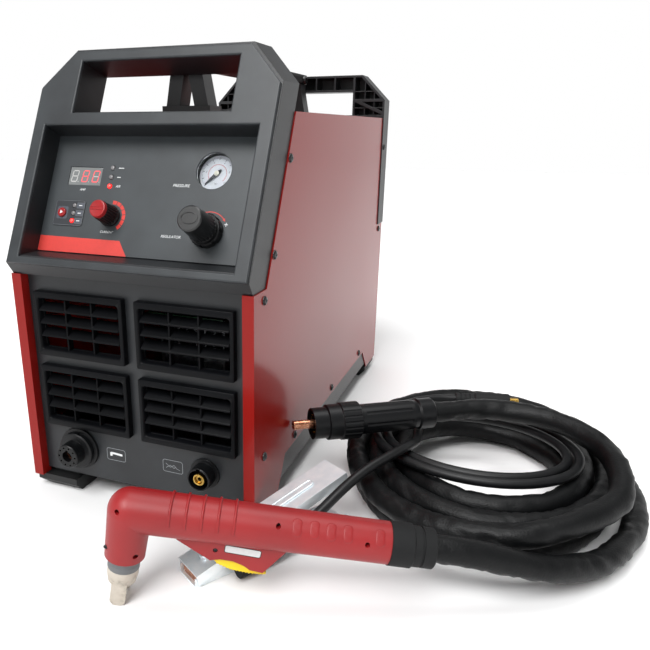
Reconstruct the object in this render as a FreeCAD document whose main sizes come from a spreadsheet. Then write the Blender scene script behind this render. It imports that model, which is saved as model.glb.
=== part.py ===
"""Plasma cutter unit: inverter power source with its hand torch and work clamp.

Lengths are in millimetres. X runs to the right seen from the front, Y runs back and Z up from the floor.
The origin lies on the floor under the middle of the power source. Inside this file Y is counted from the
front flanges of the side panels, and each piece is then moved forward by half the depth of the case.
"""
import FreeCAD, Part
import math
import os
import re
import PartDesign
import Sketcher

V = FreeCAD.Vector
Rotation = FreeCAD.Rotation
doc = FreeCAD.newDocument("PlasmaCutter")
sizes = doc.addObject("Spreadsheet::Sheet", "Sizes")

CASE = {
    "case_width": 265, "case_depth": 536, "console_rise": 154, "side_top": "=shroud_foot + console_rise",
    "side_sill": 50, "leg_bottom": 16, "front_leg": 66.5, "front_slope": 20, "rear_leg": 59,
    "rear_slope": 32, "steel": 1.5, "flange_width": 11.3, "pan_bottom": 24, "pan_wall": 42, "top_hem": 12,
}
FRONT = {
    "panel_back": 10.5, "panel_plate": 3, "panel_foot": 21.5, "shroud_foot": 243.5,
    "socket_side": 75, "socket_level": 54, "vent_margin": 9.95, "vent_gap": 13.5,
    "vent_width": "=(case_width - 2 * flange_width - 2 * vent_margin - vent_gap) / 2",
    "vent_apart": "=vent_width + vent_gap", "vent_over_sockets": 53.5,
    "vent_height": "=(shroud_foot - socket_level - vent_over_sockets) / 2", "vent_drop": 17.2,
    "vent_upper": "=shroud_foot - vent_drop - vent_height / 2", "vent_shelf": 10.8,
    "vent_lower": "=vent_upper - vent_height - vent_shelf", "vent_side": 5.5, "vent_rail": 8,
    "vent_stand": 7.5, "slat_thick": 2, "slat_rise": 10, "slats": 3, "divider": 2,
}
SHROUD = {
    "face_out": 9.3, "face_foot": "=shroud_foot + 13.3", "face_lean": 25.75, "frame_rise": 60,
    "frame_top": "=side_top + frame_rise", "frame_step": 1.5, "frame_width": "=case_width - 2 * frame_step",
    "shroud_depth": 47, "corner_side": 34.5, "corner_drop": 35, "frame_wall": 3, "bezel_thick": 3,
    "bezel_round": 1.5, "bezel_inset": 1.2, "grip_side": 45, "grip_span": "=frame_width - 2 * grip_side",
    "sill_level": "=side_top + 0.1", "grip_bar": 10.8, "grip_front": "=frame_top - grip_bar",
    "grip_slope": 0.322, "window_side": 15, "window_width": "=frame_width - 2 * window_side",
    "window_low": 7.5, "window_high": 143.5, "console_set": 25.5, "console_plate": 2,
    "rear_frame_width": "=case_width + 2 * frame_step", "rear_frame_foot": "=shroud_foot - 1.5",
    "rear_frame_depth": 35, "rear_bar": 23, "rear_grip_low": "=frame_top - rear_bar", "rib": 2, "bar_ribs": 5,
}
CONSOLE = {
    "console_left": "=-window_width / 2", "console_right": "=window_width / 2",
    "display_x": "=console_left + 40.5", "display_s": 100.8, "display_wide": 39, "display_tall": 19.5,
    "lamp_x": "=display_x + 31.3", "lamp_top": 110, "lamp_pitch": 9.5, "lamp_radius": 2.4,
    "keypad_x": "=console_left + 30", "keypad_s": 61.5, "keypad_wide": 36, "keypad_tall": 27,
    "keypad_thick": 0.6, "button_x": "=keypad_x - 8", "button_radius": 4.6, "button_travel": 1,
    "mode_lamp_x": "=keypad_x + 5.2", "mode_lamp_pitch": 8, "dial_knob_x": "=keypad_x + 50",
    "dial_knob_s": 60, "dial_knob_radius": 10, "dial_knob_tall": 22, "gauge_x": "=console_right - 49",
    "gauge_s": 110, "gauge_radius": 20, "gauge_sight": 18.3, "regulator_x": "=console_right - 44.5",
    "regulator_s": 50.5, "regulator_radius": 12, "regulator_tall": 39, "collar_radius": 16, "fit": 0.05,
    "slide_fit": 0.3, "bushing_radius": 4.5, "bushing_tall": 5, "spindle_radius": 3, "knob_gap": 1.2,
    "knob_flutes": 18, "board_reach": "=-console_left - 10", "board_near": "=board_reach - 82",
    "board_low": 44, "board_high": 120, "board_level": 18, "board_thick": 1.6, "pillar_radius": 2.5,
    "button_stem": 9, "button_proud": 2.6, "lamp_proud": 1.4, "gauge_deep": 24, "gauge_stem": 12,
    "dial_level": 9, "gauge_pin": 0.8, "needle_reach": 11, "needle_tail": 3.5, "lens_thick": 2,
    "regulator_deep": 60, "regulator_block": 22, "neck_radius": 9, "collar_tall": 8, "spindle_hole": 5,
    "regulator_ribs": 24,
}
SOCKETS = {
    "torch_seat": 20, "torch_back": 30, "torch_flange": 23, "torch_face": 13, "torch_out": 24,
    "torch_bore": 5.8, "torch_pin_circle": 10, "torch_pin_hole": 1.1, "torch_pins": 10, "work_seat": 14,
    "work_back": 20, "work_flange": 16, "work_collar": 12.5, "work_out": 16, "work_brass": 6,
    "work_bore": 4.6,
}
CARRY = {
    "post_front": 150, "post_rear": "=case_depth - 66", "post_foot_wide": 56, "post_foot_deep": 28,
    "post_foot_thick": 7.5, "leg_wide": 16, "leg_deep": 22, "leg_foot_out": 24.5, "leg_top_out": 18.5,
    "post_head": "=side_top + 38.5", "strap_level": "=post_head + 8", "strap_wide": 36, "strap_thick": 3,
    "strap_overhang": 10, "grip_wide": 40, "grip_tall": 14.5, "grip_top": "=strap_level + grip_tall",
    "pin_radius": 3, "pin_cap": 6.5, "pin_level": "=strap_level + 6.5",
}
REAR = {
    "rear_inset": 6, "rear_sill": "=side_top + 4.5", "fan_x": -52, "fan_z": 138, "fan_size": 120,
    "fan_depth": 25, "fan_bore": 57, "hub_radius": 20, "blades": 7, "blade_thick": 2, "blade_gap": 2,
    "blade_sweep": 16, "guard_wire": 1.2, "guard_eye": 5, "fan_pitch": 105, "guard_rings": 4,
    "switch_x": 78, "switch_z": 190, "switch_wide": 26, "switch_tall": 21, "gland_x": 78, "gland_z": 120,
    "gland_thread": 10, "gland_nut": 14, "gland_bore": 6.5, "gland_out": 18, "inlet_x": 78, "inlet_z": 62,
    "inlet_thread": 6.5, "inlet_bore": 2.5, "inlet_out": 20,
}
INNER_PARTS = {
    "sink_x": -52, "sink_wide": 96, "sink_front": 230, "sink_back": "=case_depth - 66", "sink_level": 84,
    "sink_plate": 6, "fin_tall": 60, "fin_thick": 3, "fins": 8, "sink_leg": 4, "inverter_wide": 112,
    "inverter_thick": 1.6, "capacitor_radius": 15, "capacitor_tall": 42, "coil_x": 75, "coil_y": 290,
    "core_wide": 66, "core_deep": 40, "core_tall": 62, "winding_wide": 50, "winding_deep": 66,
    "winding_tall": 40, "valve_x": 78, "valve_y": "=case_depth - 106", "valve_wide": 34, "valve_deep": 40,
    "valve_tall": 30, "valve_coil_radius": 14, "valve_coil_tall": 34,
}
LEADS = {
    "kit_gap": 197.5, "coil_mid_x": "=case_width / 2 + kit_gap", "coil_mid_y": 195, "torch_lead_radius": 12,
    "work_lead_radius": 5, "coil_oval": 1.2, "coil_outer": 141, "coil_pitch": 25, "coil_layer": 24.5,
    "coil_turns": 2, "loops_x": "=coil_mid_x - 8", "loops_y": "=coil_mid_y - 15", "loops_first": 85,
    "loops_narrow": 21, "loops_pitch": 12, "loops_turns": 2, "loops_level": 54.2,
}
TORCH = {
    "torch_x": "=coil_mid_x - 259.7", "torch_y": -116, "torch_z": 86.1, "torch_yaw": 20, "torch_dip": 7.3,
    "head_lean": 2, "handle_long": 213, "handle_front": 18.5, "handle_rear": 17.3, "head_long": 43,
    "head_thick_end": 17, "guard_half": 8, "slot_half": 5.1, "trigger_half": 4.8, "hinge_p": 112.5,
    "hinge_q": -35.6, "hinge_pin": 1.5, "grip_ribs": 5, "grip_rib_first": 33, "grip_rib_pitch": 13,
    "grip_rib_wide": 2, "grip_rib_proud": 0.7, "screw_hole": 2, "screw_well": 5, "ring_out": 13.5,
    "ring_long": 6, "cup_out": 13.2, "cup_long": 19, "cup_wall": 2, "prong_wide": 13, "prong_end": 86.8,
    "nozzle_out": 8, "nozzle_end": 78, "cuff_long": 37, "cuff_step": 19, "cuff_radius": 18,
    "cuff_rear": 16.5, "guard_front": 41, "nose_p": 71.4, "nose_q": -34, "heel_p": 114.4, "heel_q": -39.1,
    "guard_back": 131,
}
CONNECTOR = {
    "connector_x": "=coil_mid_x - 60.3", "connector_y": "=coil_mid_y - 4.6", "connector_z": 77.5,
    "connector_yaw": 34, "connector_collar": 17, "connector_body": 16.5, "connector_core": 14,
    "connector_nut": 20.5, "nut_start": 87, "nut_knurl": 21, "nut_smooth": 15, "nut_sleeve": 17,
    "nut_ribs": 20, "connector_face": 130, "connector_tip": 161, "tube_radius": 5, "tube_bore": 3,
    "tube_play": 0.1, "pin_play": 0.2,
}
CLAMP = {
    "clamp_x": "=case_width / 2 - 31.7", "clamp_y": -80, "clamp_yaw": 57, "arm_long": 178, "arm_steel": 1.5,
    "lower_half": 14.6, "upper_half": 16.5, "arm_side": 9, "pivot_u": 70, "pivot_z": 23, "pivot_radius": 3,
    "plate_over_pivot": 7, "upper_tilt": 15, "jaw_half": 12, "jaw_from": 3, "jaw_to": 34, "jaw_top": 8,
    "rib_half": 4, "rib_proud": 1.2, "spring_radius": 6.5, "spring_half": 9, "sleeve_u": 60,
    "sleeve_v": 24, "sleeve_radius": 7.5, "sleeve_long": 22, "sleeve_z": 8,
}
PLUG = {
    "plug_x": "=coil_mid_x - 42", "plug_y": "=coil_mid_y + 94", "plug_z": 58.4, "plug_yaw": 14.4,
    "plug_relief": 7.2, "plug_relief_long": 24, "plug_body": 9, "plug_body_long": 40, "plug_play": 0.1,
    "plug_long": 76,
}
FEET = {"foot_wide": 51, "foot_long": 58, "foot_front": 4, "foot_tall": 16, "foot_chamfer": 9,
        "foot_boss": 34}
FASTENERS = {
    "head_radius": 4.4, "head_thick": 2.2, "screw_radius": 2, "screw_long": 3, "screw_edge": 5.2,
    "screw_high": "=side_top - 41.5", "screw_mid": "=shroud_foot + 28", "screw_low": "=shroud_foot - 9.5",
    "screw_leg": 76.7, "screw_front": 25, "screw_pan": 58, "screw_pitch": 150, "screw_rear": 24.5,
}


def enter_sizes(*groups):
    """Write every dimension into the sheet, one row each; a text that starts with = follows from others."""
    rows = list(enumerate([item for group in groups for item in group.items()], 1))
    for row, (name, size) in rows:
        sizes.set(f"A{row}", name)
        sizes.setAlias(f"B{row}", name)
        NAMES.add(name)
    for row, (name, size) in rows:
        sizes.set(f"B{row}", str(size))
    doc.recompute()


NAMES = set()
NODES = []
WORD = re.compile(r"[a-z_][a-z_0-9]*")


def bound(text):
    """The same expression with the name of every dimension pointing at its cell."""
    return WORD.sub(lambda m: "Sizes." + m.group() if m.group() in NAMES else m.group(), str(text))


def num(text):
    """What an expression comes to at the present sizes."""
    result = sizes.evalExpression(bound(text))
    return float(getattr(result, "Value", result))


def bind(obj, prop, text):
    obj.setExpression(prop, bound(text))


def place(obj, at=("0", "0", "0"), axis=(0, 0, 1), angle="0", pose=None):
    """Put a piece at a point given in front-flange coordinates, turned about an axis or into a pose."""
    obj.Placement = FreeCAD.Placement(V(0, 0, 0), pose or Rotation(V(*axis), 1))
    if pose is None:
        bind(obj, "Placement.Rotation.Angle", angle)
    bind(obj, "Placement.Base.x", at[0])
    bind(obj, "Placement.Base.y", f"({at[1]}) - case_depth / 2")
    bind(obj, "Placement.Base.z", at[2])


# Outlines

def rect(x0, y0, x1, y1):
    return [(x0, y0), (x1, y0), (x1, y1), (x0, y1)]


def centred(x, y, wide, tall):
    wide, tall = f"({wide}) / 2", f"({tall}) / 2"
    return rect(f"{x} - {wide}", f"{y} - {tall}", f"{x} + {wide}", f"{y} + {tall}")


def circle(x, y, radius):
    return ("circle", x, y, radius)


class Piece:
    """One sub-part, made as a body of sketched features."""

    def __init__(self, label, at=("0", "0", "0"), axis=(0, 0, 1), angle="0", node=True, pose=None):
        self.label = label
        self.body = doc.addObject("PartDesign::Body", label)
        self.body.Label = label
        place(self.body, at, axis, angle, pose)
        if node:
            NODES.append(self.body)

    def plane(self, role):
        return [item for item in self.body.Origin.OriginFeatures if item.Role == role][0]

    def sketch(self, plane, loops, offset):
        """A sketch on one of the body's own planes, every corner tied to the sheet."""
        drawing = self.body.newObject("Sketcher::SketchObject", self.label + "_sketch")
        drawing.AttachmentSupport = [(self.plane(plane + "_Plane"), "")]
        drawing.MapMode = "FlatFace"
        bind(drawing, "AttachmentOffset.Base.z", offset)
        for loop in loops:
            if loop[0] == "circle":
                self.draw_circle(drawing, *loop[1:])
            else:
                self.draw_corners(drawing, loop)
        return drawing

    def draw_circle(self, drawing, x, y, radius):
        centre = V(num(x), num(y), 0)
        index = drawing.addGeometry(Part.Circle(centre, V(0, 0, 1), num(radius)), False)
        self.fix(drawing, "DistanceX", (-1, 1, index, 3), centre.x, x)
        self.fix(drawing, "DistanceY", (-1, 1, index, 3), centre.y, y)
        self.fix(drawing, "Radius", (index,), num(radius), radius)

    def draw_corners(self, drawing, corners):
        spots = [V(num(x), num(y), 0) for x, y in corners]
        count = len(spots)
        first = drawing.GeometryCount
        for i in range(count):
            drawing.addGeometry(Part.LineSegment(spots[i], spots[(i + 1) % count]), False)
        for i in range(count):
            here, after = first + i, first + (i + 1) % count
            drawing.addConstraint(Sketcher.Constraint("Coincident", here, 2, after, 1))
            self.fix(drawing, "DistanceX", (-1, 1, here, 1), spots[i].x, corners[i][0])
            self.fix(drawing, "DistanceY", (-1, 1, here, 1), spots[i].y, corners[i][1])

    def fix(self, drawing, kind, ends, size, text):
        number = drawing.addConstraint(Sketcher.Constraint(kind, *ends, size))
        drawing.setExpression(f"Constraints[{number}]", bound(text))

    def grow(self, kind, drawing, length, near=None):
        before = self.volume()
        feature = self.body.newObject("PartDesign::" + kind, self.label + "_" + kind.lower())
        feature.Profile = drawing
        bind(feature, "Length", length)
        self.settle(feature, drawing)
        change = feature.Shape.Volume - before
        if (kind == "Pad") != (change > 0) or abs(change) < 1e-3:
            raise RuntimeError(f"{self.label}: {feature.Name} changed the volume by {change:.3f}")
        return feature

    def settle(self, feature, drawing=None):
        if drawing is not None:
            drawing.recompute()
        feature.recompute()
        self.body.recompute()
        if feature.Shape.isNull() or not feature.isValid():
            raise RuntimeError(f"{self.label}: {feature.Name} failed")

    def volume(self):
        return 0.0 if self.body.Tip is None else self.body.Tip.Shape.Volume

    def pad(self, plane, loops, start, end):
        """Solid between two levels of the plane's own axis."""
        offset = f"-({end})" if plane == "XZ" else start
        return self.grow("Pad", self.sketch(plane, loops, offset), f"({end}) - ({start})")

    def pocket(self, plane, loops, start, end):
        """Opening between two levels of the plane's own axis."""
        offset = f"-({start})" if plane == "XZ" else end
        return self.grow("Pocket", self.sketch(plane, loops, offset), f"({end}) - ({start})")

    def turn(self, outline, kind="Revolution"):
        """Round body about the piece's own Z axis; the outline holds radius and height."""
        drawing = self.sketch("XZ", [outline], "0")
        feature = self.body.newObject("PartDesign::" + kind, self.label + "_" + kind.lower())
        feature.Profile = drawing
        feature.ReferenceAxis = (drawing, ["V_Axis"])
        feature.Angle = 360
        self.settle(feature, drawing)
        return feature

    def repeat(self, feature, role, length, count):
        """Copies of a feature in a row along one of the body's axes."""
        axis = [item for item in self.body.Origin.OriginFeatures if item.Role == role + "_Axis"][0]
        pattern = self.body.newObject("PartDesign::LinearPattern", self.label + "_row")
        pattern.Originals = [feature]
        pattern.Direction = (axis, [""])
        bind(pattern, "Length", length)
        bind(pattern, "Occurrences", count)
        self.body.Tip = pattern
        self.settle(pattern)
        return pattern

    def around(self, feature, count):
        """Copies of a feature round the piece's own Z axis."""
        axis = [item for item in self.body.Origin.OriginFeatures if item.Role == "Z_Axis"][0]
        pattern = self.body.newObject("PartDesign::PolarPattern", self.label + "_ring")
        pattern.Originals = [feature]
        pattern.Axis = (axis, [""])
        pattern.Angle = 360
        bind(pattern, "Occurrences", count)
        self.body.Tip = pattern
        self.settle(pattern)
        return pattern

    def edges(self, wanted):
        """Names of the edges of the solid so far that pass a test."""
        shape = self.body.Tip.Shape
        return [f"Edge{i}" for i, edge in enumerate(shape.Edges, 1) if wanted(edge)]

    def dress(self, kind, size, wanted):
        """Round or bevel chosen edges."""
        base = self.body.Tip
        names = self.edges(wanted)
        if not names:
            raise RuntimeError(f"{self.label}: no edges to dress")
        feature = self.body.newObject("PartDesign::" + kind, self.label + "_" + kind.lower())
        feature.Base = (base, names)
        bind(feature, "Radius" if kind == "Fillet" else "Size", size)
        self.settle(feature)
        return feature

    def fillet(self, size, wanted):
        return self.dress("Fillet", size, wanted)

    def chamfer(self, size, wanted):
        return self.dress("Chamfer", size, wanted)


def along(axis):
    """Test for straight edges that run along one of the axes."""
    def test(edge):
        if edge.Curve.TypeId != "Part::GeomLine":
            return False
        return abs(edge.tangentAt(edge.FirstParameter).dot(V(*axis))) > 0.999
    return test


ALONG_X = along((1, 0, 0))
ALONG_Y = along((0, 1, 0))
ALONG_Z = along((0, 0, 1))

HALF = "(case_width / 2)"
INNER = "(case_width / 2 - steel)"
RETURN = "(panel_back + panel_plate)"
REAR_PLANE = "(case_depth - rear_frame_depth)"


def face_point(slope, depth):
    """Y and Z of a spot on the leaning face, so far up its slope and so far behind it."""
    return (f"(-face_out + ({slope}) * sin(face_lean) + ({depth}) * cos(face_lean))",
            f"(face_foot + ({slope}) * cos(face_lean) - ({depth}) * sin(face_lean))")


def face_level(height, depth="0"):
    """Y of the leaning plane at a height, for a plane so far behind the face."""
    return f"(-face_out + (({height}) - face_foot) * tan(face_lean) + ({depth}) / cos(face_lean))"


def slope_at(height):
    """How far up the slope a height lies."""
    return f"((({height}) - face_foot) / cos(face_lean))"


def span(side, near, far):
    """Start and end of a stretch of X on the right side (1) or mirrored on the left (-1)."""
    return (near, far) if side > 0 else (f"-({far})", f"-({near})")


# Case

def side_panel(label, side):
    """Folded steel side with two legs, a notched sill and a front flange that returns to the panel."""
    piece = Piece(label)
    back = face_level("side_top") + " + shroud_depth"
    foot = face_level("shroud_foot") + " + shroud_depth"
    outline = [
        ("0", "leg_bottom"), ("front_leg", "leg_bottom"), ("front_leg + front_slope", "side_sill"),
        ("case_depth - rear_leg - rear_slope", "side_sill"), ("case_depth - rear_leg", "leg_bottom"),
        ("case_depth", "leg_bottom"), ("case_depth", "rear_frame_foot"), (REAR_PLANE, "rear_frame_foot"),
        (REAR_PLANE, "side_top"), (back, "side_top"), (foot, "shroud_foot"), ("0", "shroud_foot"),
    ]
    piece.pad("YZ", [outline], *span(side, INNER, HALF))
    near, far = span(side, f"{HALF} - flange_width", INNER)
    piece.pad("XZ", [rect(near, "leg_bottom", far, "shroud_foot")], "0", "steel")
    near, far = span(side, f"{HALF} - flange_width", f"{HALF} - flange_width + steel")
    piece.pad("XZ", [rect(near, "leg_bottom", far, "shroud_foot")], "steel", RETURN)
    near, far = span(side, INNER, HALF)
    holes = [circle(y, z, "screw_radius + fit") for y, z in PANEL_SCREWS + PAN_SCREWS]
    piece.pocket("YZ", holes, near, far)
    return piece


def top_cover():
    """Flat steel cover between the two shrouds, hemmed down against the side panels."""
    piece = Piece("top_cover")
    front = face_level("side_top") + " + shroud_depth"
    piece.pad("XY", [rect(f"-{INNER}", front, INNER, REAR_PLANE)], "side_top - steel", "side_top")
    for side in (-1, 1):
        near, far = span(side, f"{INNER} - steel", INNER)
        loop = rect(near, "side_top - top_hem", far, "side_top - steel")
        piece.pad("XZ", [loop], front, REAR_PLANE)
    return piece


def base_pan():
    """Folded tray that carries the inner parts and the feet."""
    piece = Piece("base_pan")
    back = "case_depth - rear_inset"
    piece.pad("XY", [rect(f"-{INNER}", RETURN, INNER, back)], "pan_bottom", "pan_bottom + steel")
    for side in (-1, 1):
        near, far = span(side, f"{INNER} - steel", INNER)
        loop = rect(near, "pan_bottom + steel", far, "pan_bottom + pan_wall")
        piece.pad("XZ", [loop], RETURN, back)
    drill_sides(piece, INNER, PAN_SCREWS)
    return piece


def front_panel():
    """Moulded plate with four windows for the vents and two socket holes."""
    piece = Piece("lower_front_panel")
    wide = f"({HALF} - flange_width)"
    plate = rect(f"-{wide}", "panel_foot", wide, "shroud_foot")
    holes = [circle("-socket_side", "socket_level", "torch_seat"),
             circle("socket_side", "socket_level", "work_seat")]
    for x in ("-vent_apart / 2", "vent_apart / 2"):
        for z in ("vent_lower", "vent_upper"):
            holes.append(centred(x, z, "(vent_width - 2 * vent_side)", "(vent_height - 2 * vent_rail)"))
    piece.pad("XZ", [plate] + holes, "panel_back", RETURN)
    return piece


def vent_grilles():
    """Four louvred inserts: a frame that stands proud, two dividers and three slats leaning back."""
    piece = Piece("vent_grilles")
    piece.body.AllowCompound = True
    front = "panel_back - vent_stand"
    wide, tall = "(vent_width - 2 * vent_side)", "(vent_height - 2 * vent_rail)"
    for x in ("-vent_apart / 2", "vent_apart / 2"):
        for z in ("vent_lower", "vent_upper"):
            frame = [centred(x, z, "vent_width", "vent_height"), centred(x, z, wide, tall)]
            piece.pad("XZ", frame, front, "panel_back")
            for third in (-1, 1):
                bar = centred(f"{x} + {third} * {wide} / 6", z, "divider", tall)
                piece.pad("XZ", [bar], f"{front} + 1", "panel_back")
            for step in range(int(num("slats"))):
                low = f"{z} - {tall} / 2 + ({step} + 0.55) * {tall} / slats - slat_rise / 2"
                slat = [(f"{front} + 0.5", low), ("panel_back", f"{low} + slat_rise"),
                        ("panel_back", f"{low} + slat_rise + slat_thick"),
                        (f"{front} + 0.5", f"{low} + slat_thick")]
                piece.pad("YZ", [slat], f"{x} - {wide} / 2", f"{x} + {wide} / 2")
    return piece


def feet():
    """Four moulded feet, bevelled outside, each with a boss up to the pan."""
    piece = Piece("feet")
    piece.body.AllowCompound = True
    soles, bosses = [], []
    for side in (-1, 1):
        for front in ("foot_front", "case_depth - foot_front - foot_long"):
            near, far = span(side, f"{INNER} - foot_wide", INNER)
            soles.append(rect(near, front, far, f"{front} + foot_long"))
            middle = f"{side} * ({INNER} - foot_wide / 2 - 3)"
            bosses.append(centred(middle, f"({front} + foot_long / 2)", "foot_boss", "foot_boss"))
    piece.pad("XY", soles, "0", "foot_tall")
    piece.pad("XY", bosses, "foot_tall", "pan_bottom")
    outer = num(INNER)

    def outer_sole(edge):
        middle = edge.CenterOfMass
        low = middle.z < 0.01
        side_edge = ALONG_Y(edge) and abs(abs(middle.x) - outer) < 0.01
        end_edge = ALONG_X(edge) and (abs(middle.y - num("foot_front")) < 0.01
                                      or abs(middle.y - num("case_depth - foot_front")) < 0.01)
        return low and (side_edge or end_edge)
    piece.chamfer("foot_chamfer", outer_sole)
    return piece


# Front shroud

def front_shroud():
    """Moulded housing behind the face: leaning sides, the carrying grip and the tray of the console."""
    piece = Piece("front_shroud")
    half = "(frame_width / 2)"
    lip = face_point("0", "bezel_thick")
    side = [
        ("0.5 * bezel_thick", "shroud_foot"), (face_level("shroud_foot") + " + shroud_depth", "shroud_foot"),
        (face_level("frame_top") + " + shroud_depth", "frame_top"),
        (face_level("frame_top", "bezel_thick"), "frame_top"), lip,
    ]
    piece.pad("YZ", [side], f"-{half}", half)
    cut_corners(piece, half)
    back = f"({face_level('side_top')} + shroud_depth + 40)"
    front = f"({face_level('sill_level')} - 40)"
    start = face_level("grip_front")
    hole = [(front, "sill_level"), (back, "sill_level"),
            (back, f"grip_front - ({back} - {start}) * grip_slope"),
            (start, "grip_front"), (front, f"grip_front + ({start} - {front}) * grip_slope")]
    piece.pocket("YZ", [hole], "-grip_span / 2", "grip_span / 2")
    plate = "(console_set + console_plate)"
    low = face_point("window_low", "0")[1]
    window = [(f"-face_out - 20", low), (face_level(low, plate), low), face_point("window_high", plate),
              face_point("window_high", "-10")]
    piece.pocket("YZ", [window], "-window_width / 2", "window_width / 2")
    hollow_shroud(piece, plate)
    return piece


def cut_corners(piece, half):
    """Bevel the two top corners of a handle frame."""
    for side in (-1, 1):
        corner = [(f"{side} * ({half} - corner_side)", "frame_top"), (f"{side} * {half}", "frame_top"),
                  (f"{side} * {half}", "frame_top - corner_drop")]
        piece.pocket("XZ", [corner], "-50", "case_depth + 50")


def hollow_shroud(piece, plate):
    """Open the back: the room behind the console and the ribbed channel of the grip."""
    low, high = "(shroud_foot + frame_wall)", "(sill_level - frame_wall)"
    ledge = "(window_width / 2 - frame_wall)"
    behind = [(face_level(low, plate), low), (f"{face_level(low)} + shroud_depth + 1", low),
              (f"{face_level(high)} + shroud_depth + 1", high), (face_level(high, plate), high)]
    piece.pocket("YZ", [behind], f"-{ledge}", ledge)
    inside = f"({face_level('frame_top')} + frame_wall / cos(face_lean) + bezel_thick + frame_wall)"
    back = f"({face_level('frame_top')} + shroud_depth + 1)"
    roof = "(frame_top - frame_wall)"
    start = face_level("grip_front")

    def floor(y):
        return f"grip_front + frame_wall - (({y}) - {start}) * grip_slope"
    channel = [(inside, floor(inside)), (back, floor(back)), (back, roof), (inside, roof)]
    bay = "((grip_span - rib * bar_ribs) / (bar_ribs + 1))"
    first = piece.pocket("YZ", [channel], "-grip_span / 2", f"-grip_span / 2 + {bay}")
    piece.repeat(first, "X", f"({bay} + rib) * bar_ribs", "bar_ribs + 1")


def front_bezel():
    """Flat face plate with the grip opening and the window of the console."""
    piece = Piece("front_bezel", at=("0", *face_point("0", "0")), axis=(1, 0, 0), angle="90 - face_lean")
    half = "(frame_width / 2 - bezel_inset)"
    top = slope_at("frame_top - bezel_inset")
    corner = "(corner_drop / cos(face_lean))"
    outline = [(f"-{half}", "0"), (half, "0"), (half, f"{top} - {corner}"), (f"{half} - corner_side", top),
               (f"-({half} - corner_side)", top), (f"-{half}", f"{top} - {corner}")]
    grip = rect("-grip_span / 2", slope_at("sill_level"), "grip_span / 2", slope_at("grip_front"))
    window = rect("-window_width / 2", "window_low", "window_width / 2", "window_high")
    piece.pad("XY", [outline, grip, window], "-bezel_thick", "0")
    piece.fillet("bezel_round", lambda edge: edge.CenterOfMass.z > -0.01 and edge.BoundBox.ZLength < 0.01)
    return piece


# Console

def on_console(label, x, slope, depth="console_set", node=True):
    """A piece whose own Z stands square on the console, from its front surface outwards."""
    return Piece(label, at=(x, *face_point(slope, depth)), axis=(1, 0, 0), angle="90 - face_lean", node=node)


LAMPS = [("lamp_x", "lamp_top"), ("lamp_x", "lamp_top - lamp_pitch"), ("lamp_x", "lamp_top - 2 * lamp_pitch"),
         ("mode_lamp_x", "keypad_s + mode_lamp_pitch"), ("mode_lamp_x", "keypad_s"),
         ("mode_lamp_x", "keypad_s - mode_lamp_pitch")]


def control_panel():
    """Sheet that closes the tray, pierced for everything that it carries."""
    piece = on_console("control_panel", "0", "0")
    low = "window_low + (console_set + console_plate) * tan(face_lean)"
    plate = rect("-window_width / 2", low, "window_width / 2", "window_high")
    holes = [centred("display_x", "display_s", "display_wide", "display_tall"),
             circle("dial_knob_x", "dial_knob_s", "bushing_radius + fit"),
             circle("gauge_x", "gauge_s", "gauge_sight"),
             circle("regulator_x", "regulator_s", "neck_radius + fit"),
             circle("button_x", "keypad_s", "button_radius + slide_fit")]
    holes += [circle(x, slope, "lamp_radius + slide_fit") for x, slope in LAMPS]
    piece.pad("XY", [plate] + holes, "-console_plate", "0")
    return piece


def keypad():
    """Raised label of the mode selector with openings for its button and lamps."""
    piece = on_console("mode_keypad", "0", "0")
    holes = [circle("button_x", "keypad_s", "button_radius + slide_fit")]
    holes += [circle(x, slope, "lamp_radius + slide_fit") for x, slope in LAMPS[3:]]
    piece.pad("XY", [centred("keypad_x", "keypad_s", "keypad_wide", "keypad_tall")] + holes, "0",
              "keypad_thick")
    piece.fillet("3", ALONG_Z)
    return piece


def control_board():
    """Circuit board on four pillars behind the console, with the encoder and the mode switch soldered on."""
    piece = on_console("control_board", "0", "0")
    board = rect("-board_reach", "board_low", "-board_near", "board_high")
    piece.pad("XY", [board], "-board_level - board_thick", "-board_level")
    pillars = [circle(x, y, "pillar_radius") for x in ("-board_reach + 4", "-board_near - 4")
               for y in ("board_low + 4", "board_high - 4")]
    piece.pad("XY", pillars, "-board_level", "-console_plate")
    encoder = centred("dial_knob_x", "dial_knob_s", "12", "12")
    piece.pad("XY", [encoder], "-board_level", "-console_plate")
    neck = [circle("dial_knob_x", "dial_knob_s", "bushing_radius")]
    piece.pad("XY", neck, "-console_plate", "bushing_tall")
    hole = [circle("dial_knob_x", "dial_knob_s", "spindle_radius + fit")]
    piece.pocket("XY", hole, "-board_level + 1", "bushing_tall")
    switch = centred("button_x", "keypad_s", "6", "6")
    piece.pad("XY", [switch], "-board_level", "-button_stem - button_travel - 0.3")
    return piece


def display():
    """Three-digit display module standing on the board and filling its window."""
    piece = on_console("display_module", "display_x", "display_s")
    wide, tall = "(display_wide - 2 * slide_fit)", "(display_tall - 2 * slide_fit)"
    piece.pad("XY", [centred("0", "0", wide, tall)], "-board_level", "-0.6")
    return piece


def lamps():
    """Six indicator lamps standing on the board."""
    piece = on_console("indicator_lamps", "0", "0")
    piece.body.AllowCompound = True
    piece.pad("XY", [circle(x, slope, "lamp_radius") for x, slope in LAMPS], "-board_level", "lamp_proud")
    return piece


def mode_button():
    """Round push button that slides straight in."""
    piece = on_console("mode_button", "button_x", "keypad_s")
    piece.turn([("0", "-button_stem"), ("button_radius", "-button_stem"),
                ("button_radius", "button_proud - 0.5"),
                ("button_radius - 0.5", "button_proud"), ("0", "button_proud")])
    return piece


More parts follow.
